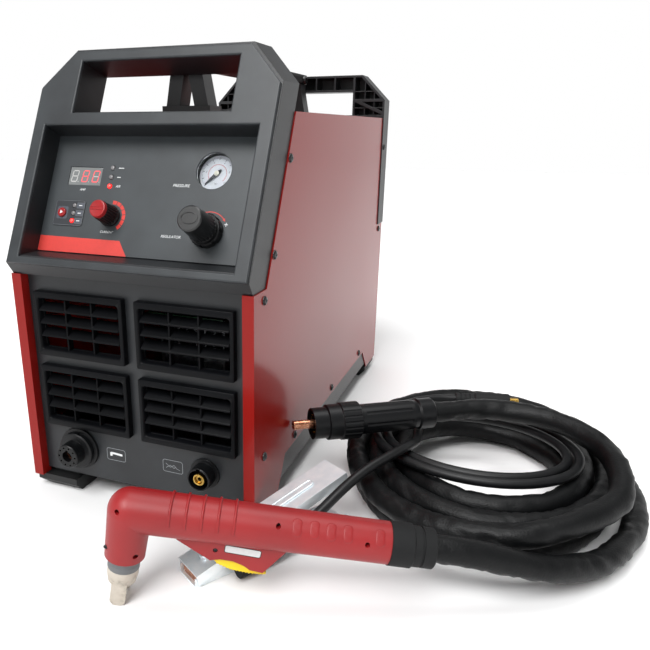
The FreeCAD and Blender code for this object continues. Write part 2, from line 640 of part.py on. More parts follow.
def current_knob():
    """Fluted knob with a skirt; its spindle runs in the encoder's bushing."""
    piece = on_console("current_knob", "dial_knob_x", "dial_knob_s")
    rim = "(dial_knob_radius + 0.8)"
    piece.turn([("0", "dial_knob_tall"), ("dial_knob_radius - 0.8", "dial_knob_tall"),
                ("dial_knob_radius", "dial_knob_tall - 0.8"), (rim, "knob_gap + 3"), (rim, "knob_gap"),
                ("bushing_radius + 1.5", "knob_gap"), ("bushing_radius + 1.5", "bushing_tall + 0.6"),
                ("spindle_radius", "bushing_tall + 0.6"), ("spindle_radius", "-board_level + 2"),
                ("0", "-board_level + 2")])
    flute = piece.pocket("XY", [circle(f"{rim} + 0.4", "0", "1")], "knob_gap + 3", "dial_knob_tall - 2.5")
    piece.around(flute, "knob_flutes")
    return piece


def gauge_case():
    """Cup of the pressure gauge behind the console, with its dial floor, centre pin and stem."""
    piece = on_console("gauge_case", "gauge_x", "gauge_s")
    front, back = "-console_plate", "(-console_plate - gauge_deep)"
    piece.turn([("0", f"{back} - gauge_stem"), ("5", f"{back} - gauge_stem"), ("5", back),
                ("gauge_radius", back), ("gauge_radius", front), ("gauge_sight + 0.4", front),
                ("gauge_sight + 0.4", "-dial_level"), ("gauge_pin", "-dial_level"),
                ("gauge_pin", "-dial_level + 2.4"), ("0", "-dial_level + 2.4")])
    return piece


def gauge_pointer():
    """Needle on the gauge's centre pin, at rest on the dial's zero."""
    piece = on_console("gauge_pointer", "gauge_x", "gauge_s")
    low, high = "-dial_level + 0.9", "-dial_level + 1.7"
    piece.pad("XY", [circle("0", "0", "2.2"), circle("0", "0", "gauge_pin + 0.05")], low, high)
    piece.pad("XY", [[("-1.9", "0.9"), ("0.9", "-1.9"), ("-needle_reach + 0.3", "-needle_reach"),
                      ("-needle_reach", "-needle_reach + 0.3")]], low, high)
    piece.pad("XY", [[("-0.9", "1.9"), ("1.9", "-0.9"), ("needle_tail + 0.9", "needle_tail"),
                      ("needle_tail", "needle_tail + 0.9")]], low, high)
    piece.pocket("XY", [circle("0", "0", "gauge_pin + 0.05")], low, high)
    return piece


def gauge_lens():
    """Clear window pressed into the mouth of the gauge."""
    piece = on_console("gauge_lens", "gauge_x", "gauge_s")
    disc = [circle("0", "0", "gauge_sight + 0.4 - fit")]
    piece.pad("XY", disc, "-console_plate - lens_thick", "-console_plate")
    return piece


def regulator_body():
    """Air regulator behind the console: filter bowl block, neck through the sheet and collar nut outside."""
    piece = on_console("regulator_body", "regulator_x", "regulator_s")
    piece.turn([("0", "-regulator_deep"), ("18", "-regulator_deep"),
                ("regulator_block", "-regulator_deep + 4"),
                ("regulator_block", "-console_plate - 6"), ("neck_radius + 2", "-console_plate"),
                ("neck_radius", "-console_plate"), ("neck_radius", "0"),
                ("collar_radius", "0"), ("collar_radius", "collar_tall - 1"),
                ("collar_radius - 1", "collar_tall"),
                ("spindle_hole", "collar_tall"), ("spindle_hole", "-regulator_deep / 2"),
                ("0", "-regulator_deep / 2")])
    notch = piece.pocket("XY", [centred("collar_radius", "0", "2", "3")], "0", "collar_tall")
    piece.around(notch, "8")
    return piece


def regulator_spindle():
    """Screw spindle that turns in the regulator's neck and carries the knob."""
    piece = on_console("regulator_spindle", "regulator_x", "regulator_s")
    piece.pad("XY", [circle("0", "0", "spindle_hole - fit")], "-regulator_deep / 2 + 1", "collar_tall + 4")
    piece.pad("XY", [centred("0", "0", "8", "8")], "collar_tall + 4", "collar_tall + 22")
    return piece


def regulator_knob():
    """Ribbed knob that slides on the spindle's square to lock and unlock."""
    piece = on_console("regulator_knob", "regulator_x", "regulator_s")
    base = "(regulator_radius + 1.6)"
    low = "(collar_tall + 0.4)"
    piece.turn([("0", "regulator_tall"), ("regulator_radius - 1.2", "regulator_tall"),
                ("regulator_radius", "regulator_tall - 1.2"), (base, f"{low} + 4"), (base, low), ("0", low)])
    piece.pocket("XY", [centred("0", "0", "8 + 2 * fit", "8 + 2 * fit")], low, "collar_tall + 22 + 1")
    piece.pocket("XY", [circle("0", "0", "spindle_hole + 0.4")], low, "collar_tall + 4.4")
    groove = piece.pocket("XY", [circle(f"{base} + 0.7", "0", "1.5")], f"{low} + 3", "regulator_tall - 4")
    piece.around(groove, "regulator_ribs")
    return piece


# Sockets

def socket_piece(label, x):
    """A piece whose own Z points out of the front panel."""
    return Piece(label, at=(x, "panel_back", "socket_level"), axis=(1, 0, 0), angle="90")


def torch_socket():
    """Central torch socket: stepped collar, ring of pin holes and a keyed bore."""
    piece = socket_piece("torch_socket", "-socket_side")
    piece.turn([("0", "-torch_back"), ("torch_seat - fit", "-torch_back"), ("torch_seat - fit", "0"),
                ("torch_flange", "0"), ("torch_flange", "3"), ("torch_seat", "3.5"), ("torch_seat", "9"),
                ("torch_seat - 1.5", "10"), ("torch_face", "10.5"), ("torch_face", "torch_out - 0.8"),
                ("torch_face - 0.8", "torch_out"), ("0", "torch_out")])
    piece.pocket("XY", [circle("0", "0", "torch_bore")], "-torch_back + 3", "torch_out")
    pin = piece.pocket("XY", [circle("torch_pin_circle", "0", "torch_pin_hole")], "torch_out - 9",
                       "torch_out")
    piece.around(pin, "torch_pins")
    piece.pocket("XY", [centred("0", "torch_bore", "3", "3")], "torch_out - 9", "torch_out")
    for x in ("-6.5", "6.5"):
        piece.pocket("XY", [centred(x, "torch_seat + 1.5", "7", "6")], "3.5", "9")
    return piece


def work_socket():
    """Insulating ring of the work-lead socket with its bayonet notch."""
    piece = socket_piece("work_socket", "socket_side")
    hole = "work_brass + fit"
    piece.turn([(hole, "-work_back"), ("work_seat - fit", "-work_back"), ("work_seat - fit", "0"),
                ("work_flange", "0"), ("work_flange", "2"), ("work_collar", "2"),
                ("work_collar", "work_out - 0.8"), ("work_collar - 0.8", "work_out"),
                ("work_collar - 2", "work_out"), ("work_collar - 2", "0.5"), (hole, "0.5")])
    piece.pocket("XY", [centred("0", "work_collar - 2", "4", "3")], "1", "work_out")
    return piece


def socket_contacts():
    """Copper tube in the bottom of the torch socket, and the keyed brass contact of the work-lead socket."""
    piece = socket_piece("socket_contacts", "0")
    piece.body.AllowCompound = True
    ring = [circle("-socket_side", "0", "torch_bore - fit"),
            circle("-socket_side", "0", "tube_radius + tube_play")]
    piece.pad("XY", ring, "-torch_back + 3", "torch_out - 8")
    sleeve = [circle("socket_side", "0", "work_brass"), circle("socket_side", "0", "work_bore")]
    piece.pad("XY", sleeve, "-work_back", "work_out - 1")
    piece.pocket("XY", [centred("socket_side", "work_bore", "3", "2.4")], "-4", "work_out - 1")
    return piece


# Rear

def rear_shroud():
    """Moulded frame at the back with a grip opening; its open front is stiffened by ribs."""
    piece = Piece("rear_shroud")
    half = "(rear_frame_width / 2)"
    grip = "(grip_span / 2)"
    frame = [rect(f"-{half}", "rear_frame_foot", half, "frame_top"),
             rect(f"-{grip}", "rear_sill", grip, "rear_grip_low")]
    piece.pad("XZ", frame, REAR_PLANE, "case_depth")
    cut_corners(piece, half)
    deep = "case_depth - frame_wall - 2"
    room = rect(f"-({half} - 2 * frame_wall)", "rear_frame_foot + frame_wall",
                f"{half} - 2 * frame_wall", "sill_level - frame_wall")
    piece.pocket("XZ", [room], REAR_PLANE, deep)
    bay = "((grip_span - rib * bar_ribs) / (bar_ribs + 1))"
    channel = rect(f"-{grip}", "rear_grip_low + frame_wall", f"-{grip} + {bay}", "frame_top - frame_wall")
    first = piece.pocket("XZ", [channel], REAR_PLANE, deep)
    piece.repeat(first, "X", f"({bay} + rib) * bar_ribs", "bar_ribs + 1")
    near = f"({grip} + frame_wall)"
    corner = "(frame_top - corner_drop)"
    slant = f"({half} + {corner} - 1.42 * frame_wall)"
    for side in (-1, 1):
        low = [(f"{side} * {near}", "rear_sill"), (f"{side} * ({half} - frame_wall)", "rear_sill"),
               (f"{side} * {near}", f"{corner} - rib")]
        high = [(f"{side} * ({half} - frame_wall)", "rear_sill + 2.5 * rib"),
                (f"{side} * ({half} - frame_wall)", f"{corner} - rib"),
                (f"{side} * ({near} + 5 * rib)", f"{corner} - rib")]
        top = [(f"{side} * {near}", f"{corner} + rib"),
               (f"{side} * ({slant} - {corner} - rib)", f"{corner} + rib"),
               (f"{side} * ({slant} - frame_top + frame_wall)", "frame_top - frame_wall"),
               (f"{side} * {near}", "frame_top - frame_wall")]
        for loop in (low, high, top):
            piece.pocket("XZ", [loop], REAR_PLANE, deep)
    drill_sides(piece, half, [REAR_SCREW])
    return piece


def rear_panel():
    """Sheet that closes the back below the rear frame, pierced for fan, switch, gland and air inlet."""
    piece = Piece("rear_panel")
    near = "case_depth - rear_inset"
    plate = rect(f"-{INNER}", "pan_bottom", INNER, "rear_frame_foot")
    holes = [circle("fan_x", "fan_z", "fan_bore"), circle("gland_x", "gland_z", "gland_thread + fit"),
             circle("inlet_x", "inlet_z", "inlet_thread + fit"),
             centred("switch_x", "switch_z", "switch_wide", "switch_tall")]
    piece.pad("XZ", [plate] + holes, near, f"{near} + steel")
    return piece


def at_rear(label, x, z, depth="case_depth - rear_inset + steel"):
    """A piece whose own Z points out of the back."""
    return Piece(label, at=(x, depth, z), axis=(1, 0, 0), angle="-90")


def fan_frame():
    """Square fan housing with its round duct and four struts to the motor seat."""
    piece = at_rear("fan_frame", "fan_x", "fan_z", "case_depth - rear_inset - fan_depth")
    piece.pad("XY", [centred("0", "0", "fan_size", "fan_size"), circle("0", "0", "fan_bore")], "0",
              "fan_depth")
    for wide, tall in (("fan_bore * 2 + 1", "5"), ("5", "fan_bore * 2 + 1")):
        piece.pad("XY", [centred("0", "0", wide, tall)], "0", "3")
    piece.pad("XY", [circle("0", "0", "hub_radius")], "0", "3")
    piece.pad("XY", [circle("0", "0", "3")], "3", "fan_depth - 6")
    return piece


def fan_rotor():
    """Hub with bent blades that turns on the motor seat's spindle."""
    piece = at_rear("fan_rotor", "fan_x", "fan_z", "case_depth - rear_inset - fan_depth")
    piece.pad("XY", [circle("0", "0", "hub_radius"), circle("0", "0", "3 + fit")], "5", "fan_depth - 3")
    back = "(blade_sweep + blade_thick)"
    tip = f"sqrt((fan_bore - blade_gap)^2 - {back}^2)"
    blade = [("hub_radius - 2", "-blade_thick"), ("fan_bore * 0.65", "6"), (tip, "blade_sweep"),
             (f"{tip} - 1", back), ("fan_bore * 0.62", "6 + blade_thick"), ("hub_radius - 2", "blade_thick")]
    first = piece.pad("XY", [blade], "6", "fan_depth - 4")
    piece.around(first, "blades")
    return piece


def fan_guard():
    """Wire guard over the fan's opening: rings on two diagonal bars, screwed to the panel at their ends."""
    piece = at_rear("fan_guard", "fan_x", "fan_z")
    reach = "(fan_pitch / 2)"
    for side in (-1, 1):
        bar = [(f"{side} * ({reach} + guard_wire)", f"{reach} - guard_wire"),
               (f"{side} * ({reach} - guard_wire)", f"{reach} + guard_wire"),
               (f"-{side} * ({reach} + guard_wire)", f"guard_wire - {reach}"),
               (f"-{side} * ({reach} - guard_wire)", f"-guard_wire - {reach}")]
        piece.pad("XY", [bar], "0", "guard_wire")
        eyes = [circle(f"{side} * {reach}", f"{end} * {reach}", "guard_eye") for end in (-1, 1)]
        piece.pad("XY", eyes, "0", "2 * guard_wire")
    for step in range(int(num("guard_rings"))):
        middle = f"(fan_bore - 4) * ({step} + 1) / guard_rings"
        loops = [circle("0", "0", f"{middle} + guard_wire"), circle("0", "0", f"{middle} - guard_wire")]
        piece.pad("XY", loops, "0", "2 * guard_wire")
    return piece


def switch_body():
    """Housing of the mains switch with its collar and the well of the rocker."""
    piece = at_rear("switch_body", "switch_x", "switch_z")
    inner_wide, inner_tall = "switch_wide - 4", "switch_tall - 5"
    piece.pad("XY", [centred("0", "0", "switch_wide", "switch_tall")], "-22", "0")
    piece.pad("XY", [centred("0", "0", "switch_wide + 4", "switch_tall + 4")], "0", "2")
    piece.pocket("XY", [centred("0", "0", inner_wide, inner_tall)], "-9", "2")
    piece.pocket("YZ", [circle("0", "-0.5", "1.5 + fit")], "-switch_wide / 2 + 0.8", "switch_wide / 2 - 0.8")
    return piece


def switch_rocker():
    """Rocker on a cross pin, shown tipped to its off side."""
    piece = Piece("switch_rocker", at=("switch_x", "case_depth - rear_inset + steel - 0.5", "switch_z"),
                  axis=(1, 0, 0), angle="-98")
    wide = "(switch_wide / 2 - 2.4)"
    side = [("-2.5", "-6"), ("2.5", "-6"), ("6.6", "0"), ("6.6", "3.2"), ("0", "2"), ("-6.6", "3.2"),
            ("-6.6", "0")]
    piece.pad("YZ", [side], f"-{wide}", wide)
    piece.pad("YZ", [circle("0", "0", "1.5")], "-switch_wide / 2 + 1", "switch_wide / 2 - 1")
    return piece


def mains_gland():
    """Cable gland with its lock nut; no mains cord is fitted."""
    piece = at_rear("mains_gland", "gland_x", "gland_z")
    piece.turn([("gland_bore", "-12"), ("gland_thread", "-12"), ("gland_thread", "-steel - 5"),
                ("gland_nut", "-steel - 5"), ("gland_nut", "-steel"), ("gland_thread", "-steel"),
                ("gland_thread", "0"), ("gland_nut", "0"), ("gland_nut", "5"), ("gland_nut - 2.5", "6"),
                ("gland_nut - 2.5", "gland_out - 2"), ("gland_nut - 4.5", "gland_out"),
                ("gland_bore", "gland_out")])
    return piece


def air_inlet():
    """Brass nipple for the compressed air hose."""
    piece = at_rear("air_inlet", "inlet_x", "inlet_z")
    tip = "(inlet_thread - 1.5)"
    piece.turn([("inlet_bore", "-16"), ("inlet_thread - 1", "-16"), ("inlet_thread", "-14"),
                ("inlet_thread", "0"),
                ("inlet_thread + 3", "0"), ("inlet_thread + 3", "6"), (tip, "6"), (tip, "inlet_out - 7"),
                (f"{tip} - 1", "inlet_out - 6"), (f"{tip} - 1", "inlet_out - 4"), (tip, "inlet_out - 3"),
                (tip, "inlet_out - 1"), (f"{tip} - 1", "inlet_out"), ("inlet_bore", "inlet_out")])
    return piece


# Inner parts

def heat_sink():
    """Finned aluminium block in the fan's draught, standing on two legs."""
    piece = Piece("heat_sink")
    left, right = "(sink_x - sink_wide / 2)", "(sink_x + sink_wide / 2)"
    floor = "pan_bottom + steel"
    top = "(sink_level + sink_plate)"
    piece.pad("XZ", [rect(left, "sink_level", right, top)], "sink_front", "sink_back")
    legs = [rect(left, floor, f"{left} + sink_leg", "sink_level"),
            rect(f"{right} - sink_leg", floor, right, "sink_level")]
    piece.pad("XZ", legs, "sink_front", "sink_back")
    fin = piece.pad("XZ", [rect(left, top, f"{left} + fin_thick", f"{top} + fin_tall")], "sink_front",
                    "sink_back")
    piece.repeat(fin, "X", "sink_wide - fin_thick", "fins")
    return piece


def inverter_board():
    """Power circuit board on top of the fins with four smoothing capacitors."""
    piece = Piece("inverter_board")
    low = "(sink_level + sink_plate + fin_tall)"
    left, right = "(sink_x - inverter_wide / 2)", "(sink_x + inverter_wide / 2)"
    piece.pad("XY", [rect(left, "sink_front - 20", right, "sink_back + 6")], low, f"{low} + inverter_thick")
    cans = [circle(f"sink_x + {side} * 26", f"sink_front + {step}", "capacitor_radius")
            for side in (-1, 1) for step in (40, 90)]
    piece.pad("XY", cans, f"{low} + inverter_thick", f"{low} + inverter_thick + capacitor_tall")
    bridge = rect("sink_x - 40", "sink_front + 130", "sink_x + 40", "sink_front + 190")
    piece.pad("XY", [bridge], f"{low} + inverter_thick", f"{low} + inverter_thick + 14")
    return piece


def transformer():
    """Main transformer: ferrite core round a copper winding, standing on the pan."""
    piece = Piece("transformer")
    floor = "(pan_bottom + steel)"
    piece.pad("XY", [centred("coil_x", "coil_y", "core_wide", "core_deep")], floor, f"{floor} + core_tall")
    winding = centred("coil_x", "coil_y", "winding_wide", "winding_deep")
    piece.pad("XY", [winding], f"{floor} + 11", f"{floor} + 11 + winding_tall")
    return piece


def solenoid_valve():
    """Air valve on the pan: brass block with its round magnet coil."""
    piece = Piece("solenoid_valve")
    floor = "(pan_bottom + steel)"
    piece.pad("XY", [centred("valve_x", "valve_y", "valve_wide", "valve_deep")], floor,
              f"{floor} + valve_tall")
    ring = [circle("valve_x", "valve_y", "valve_coil_radius")]
    piece.pad("XY", ring, f"{floor} + valve_tall", f"{floor} + valve_tall + valve_coil_tall")
    return piece


# Carrying handle on top

def handle_posts():
    """Two foot plates, each with splayed legs that meet under the strap and a lug for the cross bolt."""
    piece = Piece("handle_posts")
    piece.body.AllowCompound = True
    foot, head = "(side_top + post_foot_thick)", "post_head"
    for y in ("post_front", "post_rear"):
        piece.pad("XY", [centred("0", y, "post_foot_wide", "post_foot_deep")], "side_top", foot)
        front, back = f"{y} - leg_deep / 2", f"{y} + leg_deep / 2"
        for side in (-1, 1):
            leg = [(f"{side} * leg_foot_out", foot), (f"{side} * leg_top_out", head),
                   (f"{side} * (leg_top_out - leg_wide)", head),
                   (f"{side} * (leg_foot_out - leg_wide)", foot)]
            piece.pad("XZ", [leg], front, back)
        piece.pad("XZ", [rect("-leg_top_out", head, "leg_top_out", "strap_level")], front, back)
        piece.pad("XY", [centred("0", y, "12", "16")], "strap_level", "pin_level + 5")
        piece.pocket("YZ", [circle(y, "pin_level", "pin_radius + fit")], "-7", "7")
    return piece


def handle_strap():
    """Painted steel strap between the posts with a slot for each lug."""
    piece = Piece("handle_strap")
    ends = ("post_front - strap_overhang", "post_rear + strap_overhang")
    plate = rect("-strap_wide / 2", ends[0], "strap_wide / 2", ends[1])
    slots = [centred("0", y, "12.4", "16.4") for y in ("post_front", "post_rear")]
    piece.pad("XY", [plate] + slots, "strap_level", "strap_level + strap_thick")
    return piece


def handle_grip():
    """Rounded grip on the strap, hollowed over the two lugs and bored for the cross bolts."""
    piece = Piece("handle_grip")
    ends = ("post_front - strap_overhang - 4", "post_rear + strap_overhang + 4")
    low = "(strap_level + strap_thick)"
    piece.pad("XY", [rect("-grip_wide / 2", ends[0], "grip_wide / 2", ends[1])], low, "grip_top")
    top = num("grip_top")
    piece.fillet("5", lambda edge: edge.CenterOfMass.z > top - 0.01 and (ALONG_X(edge) or ALONG_Y(edge)))
    for y in ("post_front", "post_rear"):
        piece.pocket("XY", [centred("0", y, "12.4", "16.4")], low, "pin_level + 5.4")
        piece.pocket("YZ", [circle(y, "pin_level", "pin_radius + fit")], "-grip_wide", "grip_wide")
    return piece


# Screws

def shroud_edge(height):
    """Y of a screw just behind the front shroud's slanted back edge."""
    return f"{face_level(height)} + shroud_depth + screw_edge"


REAR_SCREW = ("case_depth - screw_rear", "screw_high")
PANEL_SCREWS = [
    (shroud_edge("screw_high"), "screw_high"), (shroud_edge("screw_mid"), "screw_mid"),
    ("screw_front", "screw_low"), ("screw_front", "screw_leg"), ("case_depth - screw_rear", "screw_low"),
]
PAN_SCREWS = [(f"case_depth / 2 + {step} * screw_pitch", "screw_pan") for step in (-1, 0, 1)]


def drill_sides(piece, outer, spots):
    """Screw holes through both side walls."""
    for side in (-1, 1):
        near, far = span(side, f"{outer} - screw_long - 0.3", outer)
        holes = [circle(y, z, "screw_radius + fit") for y, z in spots]
        piece.pocket("YZ", holes, near, far)


def case_screws():
    """Domed screws of the case and the cross bolts of the carrying handle."""
    piece = Piece("case_screws")
    piece.body.AllowCompound = True
    for outer, spots in ((HALF, PANEL_SCREWS + PAN_SCREWS), ("(rear_frame_width / 2)", [REAR_SCREW])):
        for side in (-1, 1):
            near, far = span(side, f"{outer} - screw_long", outer)
            piece.pad("YZ", [circle(y, z, "screw_radius") for y, z in spots], near, far)
            near, far = span(side, outer, f"{outer} + head_thick")
            piece.pad("YZ", [circle(y, z, "head_radius") for y, z in spots], near, far)
    bolts = [circle(y, "pin_level", "pin_radius") for y in ("post_front", "post_rear")]
    piece.pad("YZ", bolts, "-grip_wide / 2", "grip_wide / 2")
    caps = [circle(y, "pin_level", "pin_cap") for y in ("post_front", "post_rear")]
    piece.pad("YZ", caps, "-grip_wide / 2 - 3.5", "-grip_wide / 2")
    piece.pad("YZ", caps, "grip_wide / 2", "grip_wide / 2 + 3.5")
    return piece


# Torch

def torch_pose():
    """Orientation of the torch: X along the handle away from the head, Z up and square to it."""
    return Rotation(V(0, 0, 1), num("torch_yaw")) * Rotation(V(0, 1, 0), num("torch_dip"))


def head_pose():
    return torch_pose() * Rotation(V(0, 1, 0), num("head_lean"))


TORCH_AT = ("torch_x", "torch_y", "torch_z")
OWN_FRAME = ("0", "case_depth / 2", "0")


def primitive(kind, label, along, turned, **texts):
    """A primitive at a place along the torch's handle, in its own frame, its sizes tied to the sheet."""
    solid = doc.addObject("Part::" + kind, label)
    solid.Placement = FreeCAD.Placement(V(0, 0, 0), turned)
    bind(solid, "Placement.Base.x", along)
    for prop, text in texts.items():
        bind(solid, prop, text)
    return solid


def axes(x, y, z):
    return Rotation(V(*x), V(*y), V(*z), "XYZ")


def torch_half(label, side):
    """One moulded half of the torch: handle, elbow, head and trigger guard, split on the middle plane."""
    near = side < 0
    lengthwise = axes((0, 0, 1), (0, -1, 0), (1, 0, 0)) if near else axes((0, 0, -1), (0, 1, 0), (1, 0, 0))
    upper = axes((0, 0, 1), (0, -1, 0), (1, 0, 0)) if near else axes((0, 1, 0), (0, 0, 1), (1, 0, 0))
    round_off = axes((side, 0, 0), (0, side, 0), (0, 0, 1))
    down = axes((-side, 0, 0), (0, side, 0), (0, 0, -1))
    head = Rotation(V(0, 1, 0), num("head_lean")) * down
    shells = [
        primitive("Cone", label + "_grip", "0", lengthwise, Radius1="handle_front", Radius2="handle_rear",
                  Height="handle_long", Angle="180"),
        primitive("Sphere", label + "_elbow", "0", round_off, Radius="handle_front", Angle3="180"),
        primitive("Cone", label + "_head", "0", head, Radius1="handle_front", Radius2="head_thick_end",
                  Height="head_long", Angle="180"),
    ]
    for step in range(int(num("grip_ribs"))):
        along = f"grip_rib_first + {step} * grip_rib_pitch"
        thick = f"handle_front - (handle_front - handle_rear) * ({along}) / handle_long + grip_rib_proud"
        shells.append(primitive("Cylinder", label + "_rib", along, upper, Radius=thick,
                                Height="grip_rib_wide", Angle="90"))
    guard = guard_half(label, side)
    shells.append(guard.body)
    whole = doc.addObject("Part::MultiFuse", label + "_body")
    whole.Shapes = shells
    half = doc.addObject("Part::Cut", label)
    half.Label = label
    half.Base = whole
    half.Tool = half_openings(label, side)
    place(half, TORCH_AT, pose=torch_pose())
    NODES.append(half)
    return half


def guard_half(label, side):
    """Plate below the handle that shields the trigger, arched over the trigger's front."""
    guard = Piece(label + "_guard", at=OWN_FRAME, node=False)
    outline = [("guard_front - 4", "-10"), ("guard_front", "-17.5"), ("nose_p", "nose_q"),
               ("heel_p", "heel_q"),
               ("guard_back", "-16.2"), ("guard_back + 10", "-10")]
    guard.pad("XZ", [outline], *span(side, "0", "guard_half"))
    arch = [("nose_p - 2", "nose_q - 10"), ("nose_p - 1", "nose_q + 1"), ("nose_p + 7", "nose_q + 3"),
            ("nose_p + 18", "nose_q + 2.5"), ("nose_p + 27", "nose_q - 0.5"), ("nose_p + 34", "heel_q"),
            ("nose_p + 34", "heel_q - 5")]
    guard.pocket("XZ", [arch], *span(side, "0", "guard_half"))
    return guard


def half_openings(label, side):
    """Trigger slot, hinge hole and screw wells of one torch half."""
    tool = Piece(label + "_openings", at=OWN_FRAME, node=False)
    tool.body.AllowCompound = True
    slot = rect("nose_p - 3.4", "heel_q - 8", "heel_p + 5", "nose_q + 12")
    tool.pad("XZ", [slot], *span(side, "-1", "slot_half"))
    hinge = [circle("hinge_p", "hinge_q", "hinge_pin + fit")]
    tool.pad("XZ", hinge, *span(side, "slot_half - 1", "slot_half + 1.9"))
    if side < 0:
        wells = [("-7.5", "6"), ("-16", "-32"), ("9.5", "-35"), ("121", "11"), ("193", "6")]
        tool.pad("XZ", [circle(p, q, "screw_hole") for p, q in wells], "-30", "-screw_well - 3")
        tool.pad("XZ", [circle("nose_p + 2", "nose_q + 11", "screw_hole")], "-30", "-screw_well - 0.8")
    return tool.body


def torch_trigger():
    """Long lever under the handle on its cross pin; its front is pulled up into the slot."""
    piece = Piece("torch_trigger", at=TORCH_AT, pose=torch_pose())
    outline = [("nose_p", "nose_q + 1"), ("nose_p + 4.6", "nose_q - 3.5"), ("nose_p + 16", "nose_q - 7.5"),
               ("nose_p + 32", "heel_q - 3.9"), ("heel_p + 3", "heel_q - 3.2"),
               ("heel_p + 3", "heel_q - 1.2"),
               ("heel_p + 0.6", "heel_q - 0.8"), ("heel_p + 0.6", "hinge_q + 4.6"),
               ("hinge_p - 2.5", "hinge_q + 7.6"), ("nose_p + 1.6", "nose_q + 5")]
    piece.pad("XZ", [outline], "-trigger_half", "trigger_half")
    piece.pad("XZ", [circle("hinge_p", "hinge_q", "hinge_pin")], "-slot_half - 1.7", "slot_half + 1.7")
    return piece


def torch_ring():
    """Grey threaded ring at the end of the head."""
    piece = Piece("torch_ring", at=TORCH_AT, pose=head_pose())
    piece.turn([("0", "-head_long"), ("ring_out", "-head_long"), ("ring_out", "-head_long - ring_long"),
                ("0", "-head_long - ring_long")])
    return piece


def shield_cup():
    """Ceramic shield cup with two prongs that hold the stand-off."""
    piece = Piece("shield_cup", at=TORCH_AT, pose=head_pose())
    top = "-head_long - ring_long"
    low = f"{top} - cup_long"
    mouth = "nozzle_out + 0.5"
    piece.turn([(mouth, top), ("cup_out", top), ("cup_out", f"{top} - 12"), ("cup_out - 1.4", low),
                ("cup_out - cup_wall - 1.4", low), ("cup_out - cup_wall", f"{top} - 3"),
                (mouth, f"{top} - 3")])
    prongs = [rect("-prong_wide / 2", "cup_out - 3.6", "prong_wide / 2", "cup_out - 1.6"),
              rect("-prong_wide / 2", "-cup_out + 1.6", "prong_wide / 2", "-cup_out + 3.6")]
    piece.pad("XY", prongs, "-prong_end", f"{low} + 2")
    piece.fillet("5", crosses_prong)
    return piece


def crosses_prong(edge):
    """Test for the lower edges of the prongs that cross their wall."""
    return ALONG_Y(edge) and edge.Length < 2.3 and abs(edge.CenterOfMass.z + num("prong_end")) < 0.5


def torch_nozzle():
    """Copper-alloy nozzle inside the cup."""
    piece = Piece("torch_nozzle", at=TORCH_AT, pose=head_pose())
    top = "-head_long - ring_long"
    piece.turn([("0", top), ("nozzle_out", top), ("nozzle_out", "-nozzle_end + 7"),
                ("nozzle_out / 2", "-nozzle_end"),
                ("0", "-nozzle_end")])
    return piece


def torch_cuff():
    """Rubber cuff in two steps between handle and lead."""
    piece = Piece("torch_cuff", at=TORCH_AT, pose=torch_pose() * Rotation(V(0, 1, 0), 90))
    end = "handle_long + cuff_long"
    step = "handle_long + cuff_step"
    piece.turn([("0", "handle_long"), ("cuff_radius", "handle_long"), ("cuff_radius", f"{step} - 1"),
                ("cuff_radius - 1", step), ("cuff_rear", step), ("cuff_rear", f"{end} - 1"),
                ("cuff_rear - 1", end), ("0", end)])
    groove = [("cuff_rear - 1", f"{step} + 6"), ("cuff_rear + 1", f"{step} + 6"),
              ("cuff_rear + 1", f"{step} + 8"),
              ("cuff_rear - 1", f"{step} + 8")]
    piece.turn(groove, "Groove")
    return piece


# Lead connector

def connector_pose():
    """Z points along the connector from the lead to the contact tube."""
    return Rotation(V(0, 0, 1), num("connector_yaw")) * Rotation(V(0, 1, 0), -90)


CONNECTOR_AT = ("connector_x", "connector_y", "connector_z")


def connector_body():
    """Grip of the central connector with its collar, and the insulator that carries the contacts."""
    piece = Piece("torch_connector_body", at=CONNECTOR_AT, pose=connector_pose())
    piece.turn([("0", "0"), ("connector_collar - 1", "0"), ("connector_collar", "1"),
                ("connector_collar", "17"),
                ("connector_body - 1", "19"), ("connector_body", "24"), ("connector_body", "nut_start - 1"),
                ("connector_core", "nut_start - 1"), ("connector_core", "connector_face"),
                ("0", "connector_face")])
    groove = piece.pocket("XY", [circle("connector_body + 1", "0", "2.2")], "28", "nut_start - 6")
    piece.around(groove, "8")
    return piece


def connector_nut():
    """Coupling nut: knurled, then smooth, then the open sleeve; it turns on the insulator."""
    piece = Piece("torch_connector_nut", at=CONNECTOR_AT, pose=connector_pose())
    knurl = "(nut_start + nut_knurl)"
    smooth = f"({knurl} + nut_smooth)"
    front = f"({smooth} + 17)"
    bore = "connector_core + fit"
    piece.turn([(bore, "nut_start"), ("connector_nut - 1", "nut_start"), ("connector_nut", "nut_start + 1"),
                ("connector_nut", knurl), ("connector_nut - 1.2", f"{knurl} + 1"),
                ("connector_nut - 1.2", smooth),
                ("nut_sleeve", f"{smooth} + 1"), ("nut_sleeve", front), ("nut_sleeve - 2", front),
                ("nut_sleeve - 2", "connector_face - 1"), (bore, "connector_face - 1")])
    groove = piece.pocket("XY", [circle("connector_nut + 0.5", "0", "1.4")], "nut_start", knurl)
    piece.around(groove, "nut_ribs")
    return piece


